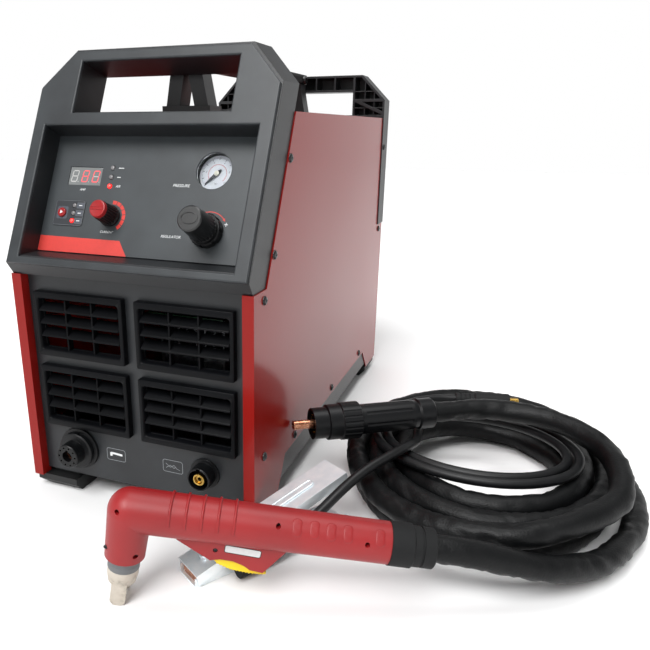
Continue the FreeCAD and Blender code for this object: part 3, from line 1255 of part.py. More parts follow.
def connector_contacts():
    """Copper tube for gas and current, with a ring of small signal pins."""
    piece = Piece("torch_connector_contacts", at=CONNECTOR_AT, pose=connector_pose())
    piece.body.AllowCompound = True
    tube = [circle("0", "0", "tube_radius"), circle("0", "0", "tube_bore")]
    piece.pad("XY", tube, "connector_face", "connector_tip")
    piece.dress("Chamfer", "0.6", lambda edge: abs(edge.CenterOfMass.z - num("connector_tip")) < 0.01
                and edge.Length > 2 * math.pi * num("tube_radius") - 1)
    pin = piece.pad("XY", [circle("torch_pin_circle", "0", "torch_pin_hole - pin_play")],
                    "connector_face", "connector_face + 8")
    piece.around(pin, "torch_pins")
    return piece


# Work clamp

def clamp_pose():
    """X runs back from the jaws along the lower arm, which lies on the floor."""
    return Rotation(V(0, 0, 1), num("clamp_yaw"))


def lower_arm():
    """Lower channel of the clamp with its copper jaw, pivot ears, pin and cable sleeve."""
    piece = Piece("clamp_lower_arm", at=("clamp_x", "clamp_y", "0"), pose=clamp_pose())
    inside = "(lower_half - arm_steel)"
    piece.pad("XY", [rect("0", "-lower_half", "arm_long", "lower_half")], "0", "arm_steel")
    ear = [("pivot_u - 12", "arm_side"), ("pivot_u - 8", "pivot_z + 1"), ("pivot_u + 10", "pivot_z + 3"),
           ("pivot_u + 15", "arm_side")]
    for side in (-1, 1):
        near, far = span(side, inside, "lower_half")
        piece.pad("XZ", [rect("0", "arm_steel", "arm_long", "arm_side")], near, far)
        piece.pad("XZ", [ear], near, far)
    piece.pad("XY", [rect("jaw_from", "-jaw_half", "jaw_to", "jaw_half")], "arm_steel", "jaw_top")
    piece.pad("XZ", [circle("pivot_u", "pivot_z", "pivot_radius")], "-upper_half - 2", "upper_half + 2")
    tube = "sleeve_u - sleeve_long"
    piece.pad("YZ", [circle("-sleeve_v", "sleeve_z", "sleeve_radius")], tube, "sleeve_u")
    bridge = rect("-sleeve_v", "2", f"-{inside}", "5")
    piece.pad("YZ", [bridge], f"{tube} + 4", "sleeve_u - 6")
    return piece


def upper_arm():
    """Upper channel on the pivot pin, with its rib, its jaw and the jaw's bolt."""
    base = ("clamp_x + pivot_u * cos(clamp_yaw)", "clamp_y + pivot_u * sin(clamp_yaw)", "pivot_z")
    tilt = Rotation(V(0, 1, 0), num("-upper_tilt"))
    piece = Piece("clamp_upper_arm", at=base, pose=clamp_pose() * tilt)
    low, high = "plate_over_pivot", "(plate_over_pivot + arm_steel)"
    front, back = "-pivot_u", "(arm_long - pivot_u)"
    piece.pad("XY", [rect(front, "-upper_half", back, "upper_half")], low, high)
    skirt = [(front, low), (front, f"{low} - arm_side"), ("-14", f"{low} - arm_side"), ("-9", "-6"),
             ("9", "-6"),
             ("14", f"{low} - arm_side"), (back, f"{low} - arm_side"), (back, low)]
    hole = circle("0", "0", "pivot_radius + fit")
    for side in (-1, 1):
        near, far = span(side, "upper_half - arm_steel", "upper_half")
        piece.pad("XZ", [skirt, hole], near, far)

    def shut(u):
        return f"(jaw_top + 0.1 - pivot_z - ({u}) * sin(upper_tilt)) / cos(upper_tilt)"
    near, far = "(jaw_from - pivot_u)", "(jaw_to - pivot_u)"
    jaw = [(near, low), (near, shut(near)), (far, shut(far)), (far, low)]
    piece.pad("XZ", [jaw], "-jaw_half", "jaw_half")
    piece.pad("XY", [circle("jaw_from + 16 - pivot_u", "0", "5")], high, f"{high} + 3.5")
    piece.pad("XY", [rect("8", "-rib_half", "76", "rib_half")], high, f"{high} + rib_proud")
    piece.fillet("rib_half - 0.2", lambda edge: ALONG_Z(edge) and edge.Length < 1.3
                 and abs(abs(edge.CenterOfMass.y) - num("rib_half")) < 0.01)
    return piece


def clamp_spring():
    """Torsion spring round the pivot pin with its lower leg on the arm."""
    piece = Piece("clamp_spring", at=("clamp_x", "clamp_y", "0"), pose=clamp_pose())
    ring = [circle("pivot_u", "pivot_z", "spring_radius"), circle("pivot_u", "pivot_z", "pivot_radius + 0.5")]
    piece.pad("XZ", ring, "-spring_half", "spring_half")
    leg = [("pivot_u + 1", "pivot_z - spring_radius + 2"), ("pivot_u + 1", "pivot_z - spring_radius + 0.4"),
           ("pivot_u + 24", "arm_steel"), ("pivot_u + 27", "arm_steel")]
    piece.pad("XZ", [leg], "-spring_half", "-spring_half + 2")
    return piece


def work_plug():
    """Bayonet plug of the work lead: ribbed strain relief, body and brass pin."""
    pose = Rotation(V(0, 0, 1), num("plug_yaw")) * Rotation(V(0, 1, 0), 90)
    piece = Piece("work_plug", at=("plug_x", "plug_y", "plug_z"), pose=pose)
    relief = "plug_relief_long"
    body = f"({relief} + plug_body_long)"
    pin = "(work_bore - plug_play)"
    piece.turn([("0", "0"), ("plug_relief - 0.6", "0"), ("plug_relief", "1"),
                ("plug_relief", f"{relief} - 2"),
                ("plug_body", relief), ("plug_body", body), ("plug_body - 1", f"{body} + 1"),
                (pin, f"{body} + 1"), (pin, "plug_long - 0.6"),
                (f"{pin} - 0.6", "plug_long"), ("0", "plug_long")])
    for step in (1, 2, 3):
        low = f"{step} * {relief} / 4.5"
        piece.turn([("plug_relief - 1.2", low), ("plug_relief + 1", low), ("plug_relief + 1", f"{low} + 1.6"),
                    ("plug_relief - 1.2", f"{low} + 1.6")], "Groove")
    piece.pad("XY", [centred(pin, "0", "2", "2")], f"{body} + 5", "plug_long - 3")
    return piece


# Leads

def arc_through(start, heading, end):
    """Arc that leaves a point in a direction and reaches another point, with its heading there."""
    chord = end - start
    reach = chord.Length
    unit = V(chord) / reach
    side = heading - unit * heading.dot(unit)
    if side.Length < 1e-6:
        return Part.LineSegment(start, end), V(heading), float("inf")
    half = math.acos(max(-1.0, min(1.0, heading.dot(unit))))
    side.normalize()
    middle = (start + end) * 0.5 + side * (reach / 2 * math.tan(half / 2))
    leaving = unit * (2 * heading.dot(unit)) - heading
    return Part.Arc(start, middle, end), leaving, reach / (2 * math.sin(half))


def join(start, heading, end, arrival):
    """Two arcs that meet smoothly between two points with given headings."""
    gap = end - start
    both = heading + arrival
    slow = 2 * (1 - heading.dot(arrival))
    run = gap.dot(both)
    if slow < 1e-9:
        reach = gap.dot(gap) / (4 * gap.dot(arrival))
    else:
        reach = (-run + math.sqrt(run * run + slow * gap.dot(gap))) / slow
    meet = (start + end + (heading - arrival) * reach) * 0.5
    first, on, radius = arc_through(start, heading, meet)
    second, _, other = arc_through(meet, on, end)
    return [first, second], min(radius, other)


def lead(label, stations, radius, bores=1.0):
    """Round lead drawn through stations, each a point with the heading there."""
    pieces, tightest = [], float("inf")
    for (start, heading), (end, arrival) in zip(stations, stations[1:]):
        parts, least = join(start, heading, end, arrival)
        pieces += parts
        tightest = min(tightest, least)
    path = Part.Wire([part.toShape() for part in pieces])
    start, heading = stations[0]
    section = Part.Wire([Part.Circle(start, heading, num(radius)).toShape()])
    shape = path.makePipeShell([section], True, False)
    feature = doc.addObject("Part::Feature", label)
    feature.Label = label
    feature.Shape = shape
    feature.Placement = FreeCAD.Placement(V(0, num("-case_depth / 2"), 0), Rotation())
    NODES.append(feature)
    report(label, path, shape, num(radius), tightest)


def report(label, path, shape, radius, tightest):
    """Print how the lead came out: bend, volume against section times length, and its least gap to itself."""
    spots = path.discretize(Distance=6.0)
    skip = int(5 * radius / 6.0) + 2
    least = min((spots[i] - spots[j]).Length for i in range(len(spots)) for j in range(i + skip, len(spots)))
    lowest = min(spot.z for spot in spots) - radius
    full = math.pi * radius ** 2 * path.Length
    print(f"{label}: length {path.Length:.0f}, tightest radius {tightest:.1f}, volume ratio "
          f"{shape.Volume / full:.3f}, least gap to itself {least - 2 * radius:.1f}, lowest {lowest:.1f}")


def level_heading(azimuth, rise=0.0):
    angle = math.radians(azimuth)
    return V(math.cos(angle), math.sin(angle), rise).normalize()


def beside_coil(right, back, level):
    """Spot so far right of the coil's middle and behind it, at a height."""
    return V(num("coil_mid_x") + right, num("coil_mid_y") + back, level)


def oval(angle, reach):
    """Spot on the oval of the torch lead's coil and the heading round it, counter-clockwise."""
    turn = math.radians(angle)
    across, back = reach * math.cos(turn), num("coil_oval") * reach * math.sin(turn)
    spot = V(num("coil_mid_x") + across, num("coil_mid_y") + back, 0)
    return spot, V(-math.sin(turn), num("coil_oval") * math.cos(turn), 0)


def coil_reach(angle):
    """Half width of the coil's turn at an angle: inwards on the floor, then outwards in the upper layer."""
    outer, pitch, turns = num("coil_outer"), num("coil_pitch"), num("coil_turns")
    first, last = 45, 45 + 360 * turns
    if angle < first:
        return outer + 19 * (first - angle) / 92
    if angle <= last + 90:
        return outer - pitch * (angle - first) / 360
    return outer - pitch * (last + 180 - first) / 360 + pitch * (angle - last) / 360


def coil_height(angle):
    """Height of the coil's middle line: floor, up one layer in the half turn, then up to the crossing."""
    low, layer, turns = num("torch_lead_radius"), num("coil_layer"), num("coil_turns")
    last = 45 + 360 * turns
    if angle < 45:
        return low + 8 * ((45 - angle) / 92) ** 2
    if angle <= last:
        return low
    if angle < last + 180:
        return low + layer * (1 - math.cos(math.radians(angle - last))) / 2
    over = angle - (last + 180 + 360 * turns + 25)
    return low + layer + (0.0 if over <= 0 else 0.235 * over)


def coil_station(angle):
    spot, heading = oval(angle, coil_reach(angle))
    after, _ = oval(angle + 0.5, coil_reach(angle + 0.5))
    before, _ = oval(angle - 0.5, coil_reach(angle - 0.5))
    way = after - before
    way.z = coil_height(angle + 0.5) - coil_height(angle - 0.5)
    spot.z = coil_height(angle)
    return spot, way.normalize()


def torch_lead():
    """Sleeved torch lead: from the cuff to the floor, its coil in two layers, over it to the connector."""
    pose = torch_pose()
    reach = V(num("handle_long + cuff_long"), 0, 0)
    start = V(num("torch_x"), num("torch_y"), num("torch_z")) + pose.multVec(reach)
    stations = [(start, pose.multVec(V(1, 0, 0)))]
    stations.append((beside_coil(42, -198, 36), level_heading(27, -0.20)))
    spot, way = coil_station(-47)
    stations.append((spot, way))
    lead("torch_lead", stations, "torch_lead_radius")
    stations = [(spot, way), (spot + way * 2 * num("torch_lead_radius"), way)]
    angle = -1
    last = 45 + 360 * num("coil_turns") + 180 + 360 * num("coil_turns") + 100
    while angle < last + 1:
        stations.append(coil_station(angle))
        angle += 46 if angle < 45 else 45 if angle < last - 50 else 55
    stations.append((beside_coil(131, -63, 62), level_heading(91, 0.17)))
    stations.append((beside_coil(101, 5, 72.5), level_heading(135, 0.08)))
    stations.append((beside_coil(29, 34, 77), level_heading(180, 0.03)))
    end = V(num("connector_x"), num("connector_y"), num("connector_z"))
    back = level_heading(num("connector_yaw"))
    stations.append((end + back * 42, back * -1))
    stations.append((end, back * -1))
    lead("torch_lead_coil", stations, "torch_lead_radius")


def loop_station(angle, height=None):
    """Station on the thin lead's loops, clockwise from their left end and growing outwards."""
    turn = math.radians(angle)
    wide = num("loops_first") + num("loops_pitch") * angle / 360
    deep = wide - num("loops_narrow")
    spot = V(num("loops_x") - wide * math.cos(turn), num("loops_y") + deep * math.sin(turn),
             num("loops_level") if height is None else height)
    growth = num("loops_pitch") / (2 * math.pi)
    way = V(wide * math.sin(turn) - growth * math.cos(turn),
            deep * math.cos(turn) + growth * math.sin(turn), 0)
    return spot, way.normalize()


def work_lead():
    """Thin lead from the clamp's sleeve over the coil, round two loops and on to its plug."""
    pose = clamp_pose()
    arm = pose.multVec(V(num("sleeve_u"), num("-sleeve_v"), num("sleeve_z")))
    start = V(num("clamp_x"), num("clamp_y"), 0) + arm
    level = num("loops_level")
    stations = [(start, pose.multVec(V(1, 0, 0)))]
    stations.append((beside_coil(-118, -152, level), level_heading(52, 0.30)))
    stations.append((beside_coil(-71, -75, level + 10.7), level_heading(73)))
    stations.append((beside_coil(-69, -37, level + 1.2), level_heading(96, -0.12)))
    spot, way = loop_station(60)
    stations.append((spot, way))
    lead("work_lead", stations, "work_lead_radius")
    stations = [(spot, way), (spot + way * 2 * num("work_lead_radius"), way)]
    angle = 120
    while angle < 360 * num("loops_turns") + 1:
        stations.append(loop_station(angle))
        angle += 60
    yaw = num("plug_yaw")
    end = V(num("plug_x"), num("plug_y"), num("plug_z"))
    stations.append((end - level_heading(yaw) * 12, level_heading(yaw)))
    stations.append((end, level_heading(yaw)))
    lead("work_lead_loops", stations, "work_lead_radius")


# Build

enter_sizes(CASE, FRONT, SHROUD, CONSOLE, SOCKETS, CARRY, REAR, INNER_PARTS, LEADS, TORCH, CONNECTOR, CLAMP,
            PLUG, FEET, FASTENERS)

side_panel("right_side_panel", 1)
side_panel("left_side_panel", -1)
top_cover()
base_pan()
front_panel()
vent_grilles()
feet()
front_shroud()
front_bezel()
control_panel()
keypad()
control_board()
display()
lamps()
mode_button()
current_knob()
gauge_case()
gauge_pointer()
gauge_lens()
regulator_body()
regulator_spindle()
regulator_knob()
torch_socket()
work_socket()
socket_contacts()
rear_shroud()
rear_panel()
fan_frame()
fan_rotor()
fan_guard()
switch_body()
switch_rocker()
mains_gland()
air_inlet()
heat_sink()
inverter_board()
transformer()
solenoid_valve()
handle_posts()
handle_strap()
handle_grip()
case_screws()
torch_half("torch_handle_left", -1)
torch_half("torch_handle_right", 1)
torch_trigger()
torch_ring()
shield_cup()
torch_nozzle()
torch_cuff()
connector_body()
connector_nut()
connector_contacts()
lower_arm()
upper_arm()
clamp_spring()
work_plug()
torch_lead()
work_lead()

doc.recompute()
for item in doc.Objects:
    if {"Invalid", "Error"} & set(item.State):
        raise RuntimeError(f"{item.Label} did not recompute: {item.State}")

os.makedirs("parts", exist_ok=True)
for node in NODES:
    if node.Shape.isNull() or not node.Shape.isValid():
        raise RuntimeError(f"{node.Label} has no valid shape")
    node.Shape.exportStep(f"parts/{node.Label}.step")
print(f"{len(NODES)} parts written")
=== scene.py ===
"""Looks of a portable plasma cutting unit: power source, hand torch with its coiled lead, and work clamp."""

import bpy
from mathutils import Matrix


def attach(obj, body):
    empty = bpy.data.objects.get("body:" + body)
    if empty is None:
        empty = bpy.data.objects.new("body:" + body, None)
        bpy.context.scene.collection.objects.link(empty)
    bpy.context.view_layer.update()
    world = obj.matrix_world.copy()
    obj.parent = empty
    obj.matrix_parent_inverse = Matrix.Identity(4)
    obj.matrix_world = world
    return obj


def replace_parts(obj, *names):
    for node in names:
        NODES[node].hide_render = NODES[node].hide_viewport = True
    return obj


bl_info = {
    "name": "Plasma cutting unit looks",
    "version": (1, 0, 0),
    "blender": (4, 5, 0),
    "location": "View3D > Sidebar > Cutter",
    "description": "Dresses the plasma cutting unit: paint, mouldings, console print, dial, leads and stage",
    "category": "Object",
}

from math import cos, hypot, pi, radians, sin, tan

import bmesh
import bpy
from bpy.props import FloatProperty, PointerProperty, StringProperty
from bpy.types import NodeSocket, Operator, Panel, PropertyGroup
from mathutils import Matrix, Vector, noise

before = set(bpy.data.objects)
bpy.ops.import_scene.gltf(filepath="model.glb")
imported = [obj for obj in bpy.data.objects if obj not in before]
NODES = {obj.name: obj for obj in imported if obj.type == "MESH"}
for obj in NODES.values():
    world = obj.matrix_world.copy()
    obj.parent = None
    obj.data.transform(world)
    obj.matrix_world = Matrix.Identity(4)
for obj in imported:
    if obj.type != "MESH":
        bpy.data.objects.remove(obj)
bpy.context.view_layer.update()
CASE = "plasma_cutter"
HALF_DEPTH = 0.268  # metres from the front flange plane to the row frame's origin


# Settings that a user may change

class CutterLooks(PropertyGroup):
    """Colours and sizes of the finish and print."""
    case_red: StringProperty(
        name="Case red", default="861510", description="Paint of the folded steel panels, sRGB hex")
    torch_red: StringProperty(
        name="Torch red", default="94181B", description="Plastic of the torch's halves, sRGB hex")
    stripe_red: StringProperty(
        name="Stripe red", default="CE3830", description="Ink of the stripe and the scales, sRGB hex")
    letter_height: FloatProperty(
        name="Letter height", default=0.0030, min=0.001, subtype="DISTANCE", unit="LENGTH",
        description="Capitals on the console")
    display_number: StringProperty(
        name="Display", default="80", description="Number shown by the three-digit display")
    lamp_glow: FloatProperty(
        name="Lamp glow", default=2.2, min=0, description="Brightness of lit lamps and segments")
    floor_colour: StringProperty(
        name="Floor", default="F4F4F4", description="Colour of the floor, sRGB hex")


def looks():
    return bpy.context.scene.cutter_looks


# Materials

def linear(code, share=1.0):
    """Linear colour of an sRGB hex code, or of a share of its light."""
    parts = [int(code[i:i + 2], 16) / 255 for i in (0, 2, 4)]
    return *(share * (c / 12.92 if c <= 0.04045 else ((c + 0.055) / 1.055) ** 2.4) for c in parts), 1.0


def add(tree, kind, inputs=None, **settings):
    """Add one shader node, set its properties, and fill or link its inputs."""
    made = tree.nodes.new(kind)
    for name, value in settings.items():
        setattr(made, name, value)
    for name, value in (inputs or {}).items():
        if isinstance(value, NodeSocket):
            tree.links.new(value, made.inputs[name])
        else:
            made.inputs[name].default_value = value
    return made


def finish(name, shade, sheen, grain=None, edge=0.0, strength=1.0, stretch=1.0, folds=0.0,
           stops=(0.3, 0.7), cover=1.0, **values):
    """Material of random patterns, whose patches are so many millimetres across on the real object.

    shade: sRGB colours from dark to light, then the pattern's millimetres and detail.
    sheen: least and most roughness, then the same. grain: height of the bump in millimetres, then the same.
    The bump lies over edges softened by edge millimetres, and holds folds times the shade's pattern too;
    a stretch below 1 draws its grain out into marks. stops: where on the pattern each colour is reached.
    cover: how much of its light the first colour keeps.
    """
    made = bpy.data.materials.new(name)
    made.use_nodes = True
    tree = made.node_tree
    tree.nodes.clear()
    metres = add(tree, "ShaderNodeTexCoord").outputs["Object"]
    patterns = []
    for pattern in (shade, sheen, grain)[:3 if grain else 2]:
        across, detail = pattern[-2:]
        scale = (1, stretch if pattern is grain else 1, 1)
        drawn = add(tree, "ShaderNodeMapping", {"Vector": metres, "Scale": scale})
        patterns.append(add(tree, "ShaderNodeTexNoise", {
            "Vector": drawn.outputs["Vector"], "Scale": 1000 / across, "Detail": detail,
            "Roughness": 0.55}).outputs["Fac"])
    tint = add(tree, "ShaderNodeValToRGB", {"Fac": patterns[0]})
    bands = tint.color_ramp.elements
    for place in stops[2:]:
        bands.new(place)
    for band, place, code in zip(bands, stops, shade):
        band.position, band.color = place, linear(code, cover if place == stops[0] else 1.0)
    dull = add(tree, "ShaderNodeMapRange", {"Value": patterns[1], "To Min": sheen[0], "To Max": sheen[1]})
    surface = {"Base Color": tint.outputs["Color"], "Roughness": dull.outputs["Result"]}
    if grain:
        # With folds, the bump follows the shade's pattern, so the lighter colour sits on the crests: painted
        # highlight and shade.
        height = add(tree, "ShaderNodeMath", {0: patterns[0], 1: folds, 2: patterns[2]},
                     operation="MULTIPLY_ADD").outputs[0]
        bump = {"Height": height, "Distance": grain[0] / 1000, "Strength": strength}
        if edge:
            soft = add(tree, "ShaderNodeBevel", {"Radius": edge / 1000}, samples=4)
            bump["Normal"] = soft.outputs["Normal"]
        surface["Normal"] = surface["Coat Normal"] = add(tree, "ShaderNodeBump", bump).outputs["Normal"]
    surface.update((socket.replace("_", " "), value) for socket, value in values.items())
    shader = add(tree, "ShaderNodeBsdfPrincipled", surface)
    add(tree, "ShaderNodeOutputMaterial", {"Surface": shader.outputs["BSDF"]})
    made.diffuse_color = linear(shade[1])
    return made


def powder_coated(name, code):
    """Enamel powder baked on sheet steel: a glossy skin over its duller body, with a faint orange peel."""
    return finish(name, (code, code, 120, 0), (0.29, 0.34, 120, 0), (0.06, 4.5, 1),
                  strength=0.5, IOR=1.18, Coat_Weight=0.5, Coat_Roughness=0.11, Coat_IOR=1.36)


def grained(name, dark, light, rough=0.46, grain=0.9, height=0.06, ior=1.5):
    """Moulded, cast, lacquered or pressed: satin, its fine grain drawn as coarse as it needs to show."""
    return finish(name, (dark, light, 45, 3), (rough - 0.05, rough + 0.07, grain, 2),
                  (height, grain, 2), edge=0.6, strength=0.55, IOR=ior)


def vulcanised(name, dark, light):
    """Vulcanised rubber: matt, with a chalky bloom in patches."""
    return finish(name, (dark, light, 14, 4), (0.66, 0.80, 14, 4), (0.05, 1.1, 2),
                  edge=0.6, strength=0.6, IOR=1.38)


def woven(name, dark, light):
    """Coated cloth: painted highlight on the crests of its folds and painted shade in their hollows, as its
    colour follows the bump; its threads drawn three times too coarse, to show.
    """
    return finish(name, (dark, light, 34, 2), (0.42, 0.54, 34, 2), (0.32, 1.6, 1),
                  strength=0.9, folds=6.0, stops=(0.35, 0.72), IOR=1.32)


def extruded(name, dark, light):
    """Extruded rubber jacket: dark and a little shiny, with faint drag marks."""
    return finish(name, (dark, light, 9, 3), (0.38, 0.52, 9, 3), (0.04, 2.0, 2), IOR=1.4)


def plated(name, dark, light, rough, metal=1.0):
    """Plated steel with fine rub marks; less than full metal where its clear film scatters some light."""
    return finish(name, (dark, light, 11, 4), (rough - 0.05, rough + 0.07, 11, 4),
                  (0.03, 1.2, 3), edge=0.4, strength=0.4, stretch=0.12, Metallic=metal)


def bare_metal(name, dark, light, rough, across=4.0):
    """Turned, drawn or cast metal with the dull patches that handling leaves."""
    return finish(name, (dark, light, across, 4), (rough - 0.06, rough + 0.16, across, 4),
                  (0.02, 0.9, 2), edge=0.25, Metallic=1.0)


def fired(name, soot, dark, light):
    """Cast and fired ceramic: chalky, darker where sparks have caught it."""
    return finish(name, (soot, dark, light, 7, 5), (0.55, 0.75, 7, 5), (0.06, 0.8, 2), edge=0.4,
                  stops=(0.2, 0.42, 0.8))


def clear_moulded(name, code):
    """Moulded polycarbonate: clear, with a hint of haze."""
    return finish(name, (code, code, 12, 2), (0.02, 0.06, 12, 2), Transmission_Weight=1.0, IOR=1.2)


def screen_printed(name, code):
    """Screen-printed ink: flat, and slightly uneven in its cover."""
    return finish(name, (code, code, 3, 3), (0.45, 0.58, 3, 3), stops=(0.3, 0.6), cover=0.93)


def lit(name, code, share):
    """Cast epoxy that is lit from behind: an even glow."""
    return finish(name, (code, code, 2, 1), (0.25, 0.25, 2, 1), Emission_Color=linear(code),
                  Emission_Strength=share * looks().lamp_glow)


def flat_coated(name, dark, light, smooth, rough, shade_across, sheen_across):
    """Thin flat coating without a grain: only its colour and sheen drift a little."""
    return finish(name, (dark, light, shade_across, 2), (smooth, rough, sheen_across, 2))


# Each finish by its real material: how it is made, its sRGB colours and other values, what it gives the eye
FINISHES = {
    "powder_coated_steel": (powder_coated, "case_red"),  # deep red with a soft gloss
    "powder_coated_strap": (powder_coated, "161718"),  # near black with a soft gloss
    "black_baked_enamel": (grained, "08090A", "101112", 0.34, 1.5, 0.03),  # smooth black, wide dim glints
    "charcoal_moulded_abs": (grained, "141618", "1D1F22", 0.42),  # dark grey, evenly satin
    "face_moulded_abs": (grained, "212427", "2F3336", 0.42),  # a shade lighter than the frames
    "satin_black_abs": (grained, "15171A", "202326", 0.40),  # flat panel with a quiet sheen
    "gloss_black_abs": (grained, "07080A", "0C0D10", 0.34, 0.9, 0.03, 1.2),  # black slats, thin highlights
    "red_moulded_abs": (grained, "8C1216", "9A191C", 0.32, 1.2, 0.03),  # bright red, rather glossy
    "black_moulded_pa6": (grained, "07080A", "0D0E10", 0.38, 0.9, 0.06, 1.36),  # deep black, soft edges
    "hole_mouth_pa6": (grained, "020202", "040404", 0.6),  # painted shade: black rims stand in for the shadow inside the holes
    "polished_black_nylon": (grained, "070809", "0C0D0E", 0.36, 0.9, 0.03, 1.6),  # wet-looking black
    "black_rocker_nylon": (grained, "101112", "1A1B1D", 0.28),  # shiny where fingers press
    "red_glass_filled_nylon": (grained, "torch_red", "87171A", 0.44, 0.9, 0.05),  # warm dull red
    "yellow_moulded_nylon": (grained, "E2BE00", "F0D212", 0.36),  # clear signal yellow
    "grey_moulded_peek": (grained, "5C5E60", "707274", 0.5),  # mid grey, dry
    "cream_moulded_acetal": (grained, "DAD6C4", "E8E4D4", 0.35),  # waxy off-white
    "black_moulded_elastomer": (grained, "0B0C0C", "151617", 0.55),  # dull black that grips the floor
    "textured_polyester_film": (grained, "303437", "3A3F42", 0.44, 0.6, 0.03),  # fine tooth, slate grey
    "embossed_polyester_film": (grained, "26282C", "303338", 0.42, 0.6, 0.03),  # the same tooth, darker
    "smoked_acrylic": (grained, "727575", "808383", 0.16, 4.0, 0.01),  # glassy grey window
    "clear_epoxy_unlit": (grained, "6E6C6D", "8C8A8B", 0.22, 2.0, 0.01),  # milky lamp that is off
    "unlit_segment_epoxy": (grained, "AEADAB", "BEBDBB", 0.3, 2.0, 0.01),  # pale bars of the display
    "grey_lacquered_aluminium": (grained, "3C3E42", "54565B", 0.35),  # dark needle against the card
    "black_oxide_steel": (grained, "08090A", "16181A", 0.28, 1.5, 0.02),  # oily black screw heads
    "sintered_ferrite": (grained, "2A2B2D", "3A3B3E", 0.6),  # stony dark grey
    "moulded_grip_rubber": (vulcanised, "101112", "1A1C1D"),  # dark, matt hand grip
    "cuff_rubber": (vulcanised, "0B0C0D", "151617"),  # the blackest rubber
    "crimped_rubber_sleeve": (vulcanised, "111213", "1C1D1F"),  # dark, matt, dusty
    "plug_rubber": (vulcanised, "0F1011", "1A1B1C"),  # dark, matt
    "coated_cloth_sleeve": (woven, "040506", "0D0E0F"),  # painted highlight on the folds, painted shade in the hollows
    "extruded_rubber_jacket": (extruded, "08090A", "101113"),  # one long soft highlight
    "zinc_plated_steel": (plated, "E6F0F5", "F6FBFD", 0.34, 0.62),  # bright, bluish, blurred mirror
    "nickel_plated_wire": (plated, "7C8084", "C2C6C9", 0.3),  # silvery rings of the guard
    "spring_steel": (plated, "6C7074", "A8ACB0", 0.3),  # grey coils with crisp glints
    "turned_brass": (bare_metal, "8A6A2E", "D8B463", 0.24),  # warm yellow, browner in patches
    "gold_plated_brass": (bare_metal, "9A7420", "E6C25E", 0.2),  # richer yellow pins
    "drawn_copper": (bare_metal, "A5603F", "E3A98A", 0.22),  # salmon pink with brown patches
    "tarnished_copper_nozzle": (bare_metal, "A59C8E", "CFC6B6", 0.42, 3.0),  # greyed by heat
    "enamelled_copper_wire": (bare_metal, "6E2B16", "B5653A", 0.32, 2.0),  # brown lacquer over copper
    "pressure_cast_zinc": (bare_metal, "7F8386", "A9ADB0", 0.42),  # dull grey casting
    "extruded_aluminium": (bare_metal, "9EA3A7", "C9CDD0", 0.34),  # pale silver fins
    "fired_ceramic": (fired, "8E877C", "B8AFA2", "C8C0B4"),  # chalky cream cup
    "polycarbonate_pane": (clear_moulded, "F4F7F8"),  # the dial shows through it
    "green_solder_mask": (flat_coated, "0E3A22", "1E6A3C", 0.3, 0.5, 5, 5),  # green with darker tracks
    "enamelled_tin": (flat_coated, "DADBE1", "E8E8EE", 0.4, 0.5, 16, 6),  # cool white dial card
    "matt_paper": (flat_coated, "floor_colour", "floor_colour", 0.85, 0.95, 300, 300),  # pale, no glare
    "white_screen_ink": (screen_printed, "DDDFE0"),  # crisp white words
    "silver_screen_ink": (screen_printed, "8C9093"),  # quiet signs by the sockets
    "grey_screen_ink": (screen_printed, "5A5E62"),  # frame round the keys
    "slate_screen_ink": (screen_printed, "474B54"),  # bluish plates of the keys
    "red_screen_ink": (screen_printed, "stripe_red"),  # the stripe and the scales
    "blue_grey_dial_ink": (screen_printed, "3A4154"),  # scale of the gauge
    "red_dial_ink": (screen_printed, "C3262A"),  # its inner scale
    "white_vinyl_label": (screen_printed, "CDCECE"),  # blank label
    "black_label_ink": (screen_printed, "1A1B1C"),  # its border
    "lit_red_epoxy": (lit, "F0201E", 1.0),  # saturated rim of a lit lamp
    "lit_red_epoxy_middle": (lit, "F2504A", 0.5),  # its paler middle
    "lit_segment_epoxy": (lit, "E2565C", 0.2),  # soft red digits
}


def material(name):
    """The finish of that name, made when it is first asked for; a value may name a user's setting."""
    if name not in bpy.data.materials:
        way, *values = FINISHES[name]
        way(name, *(getattr(looks(), value, value) if isinstance(value, str) else value for value in values))
    return bpy.data.materials[name]


# Forms

def front(x, y, z):
    """Point given in millimetres from the front flange plane, as metres in the row frame."""
    return Vector((x / 1000, y / 1000 - HALF_DEPTH, z / 1000))


def in_millimetres(spot):
    """The reverse of front: a point of the row frame in millimetres from the front flange plane."""
    return spot * 1000 + Vector((0, HALF_DEPTH * 1000, 0))


def polar(radius, angle):
    return radius * cos(angle), radius * sin(angle)


def angles(count):
    """So many angles, evenly round a circle."""
    return [2 * pi * k / count for k in range(count)]


def squares_along(line):
    """Each point of a line, with two directions square to the line that twist as little as they can."""
    side = None
    for i, spot in enumerate(line):
        ahead = (line[min(i + 1, len(line) - 1)] - line[max(i - 1, 0)]).normalized()
        side = ahead.orthogonal() if side is None else side - ahead * side.dot(ahead)
        side.normalize()
        yield spot, side, ahead.cross(side)


def placed(name, data):
    """New object with this data in the scene."""
    made = bpy.data.objects.new(name, data)
    bpy.context.scene.collection.objects.link(made)
    return made


def soften(mesh, degrees):
    """Smooth shading, but for edges that turn by more than so many degrees."""
    for face in mesh.polygons:
        face.use_smooth = True
    mesh.set_sharp_from_angle(angle=radians(degrees))


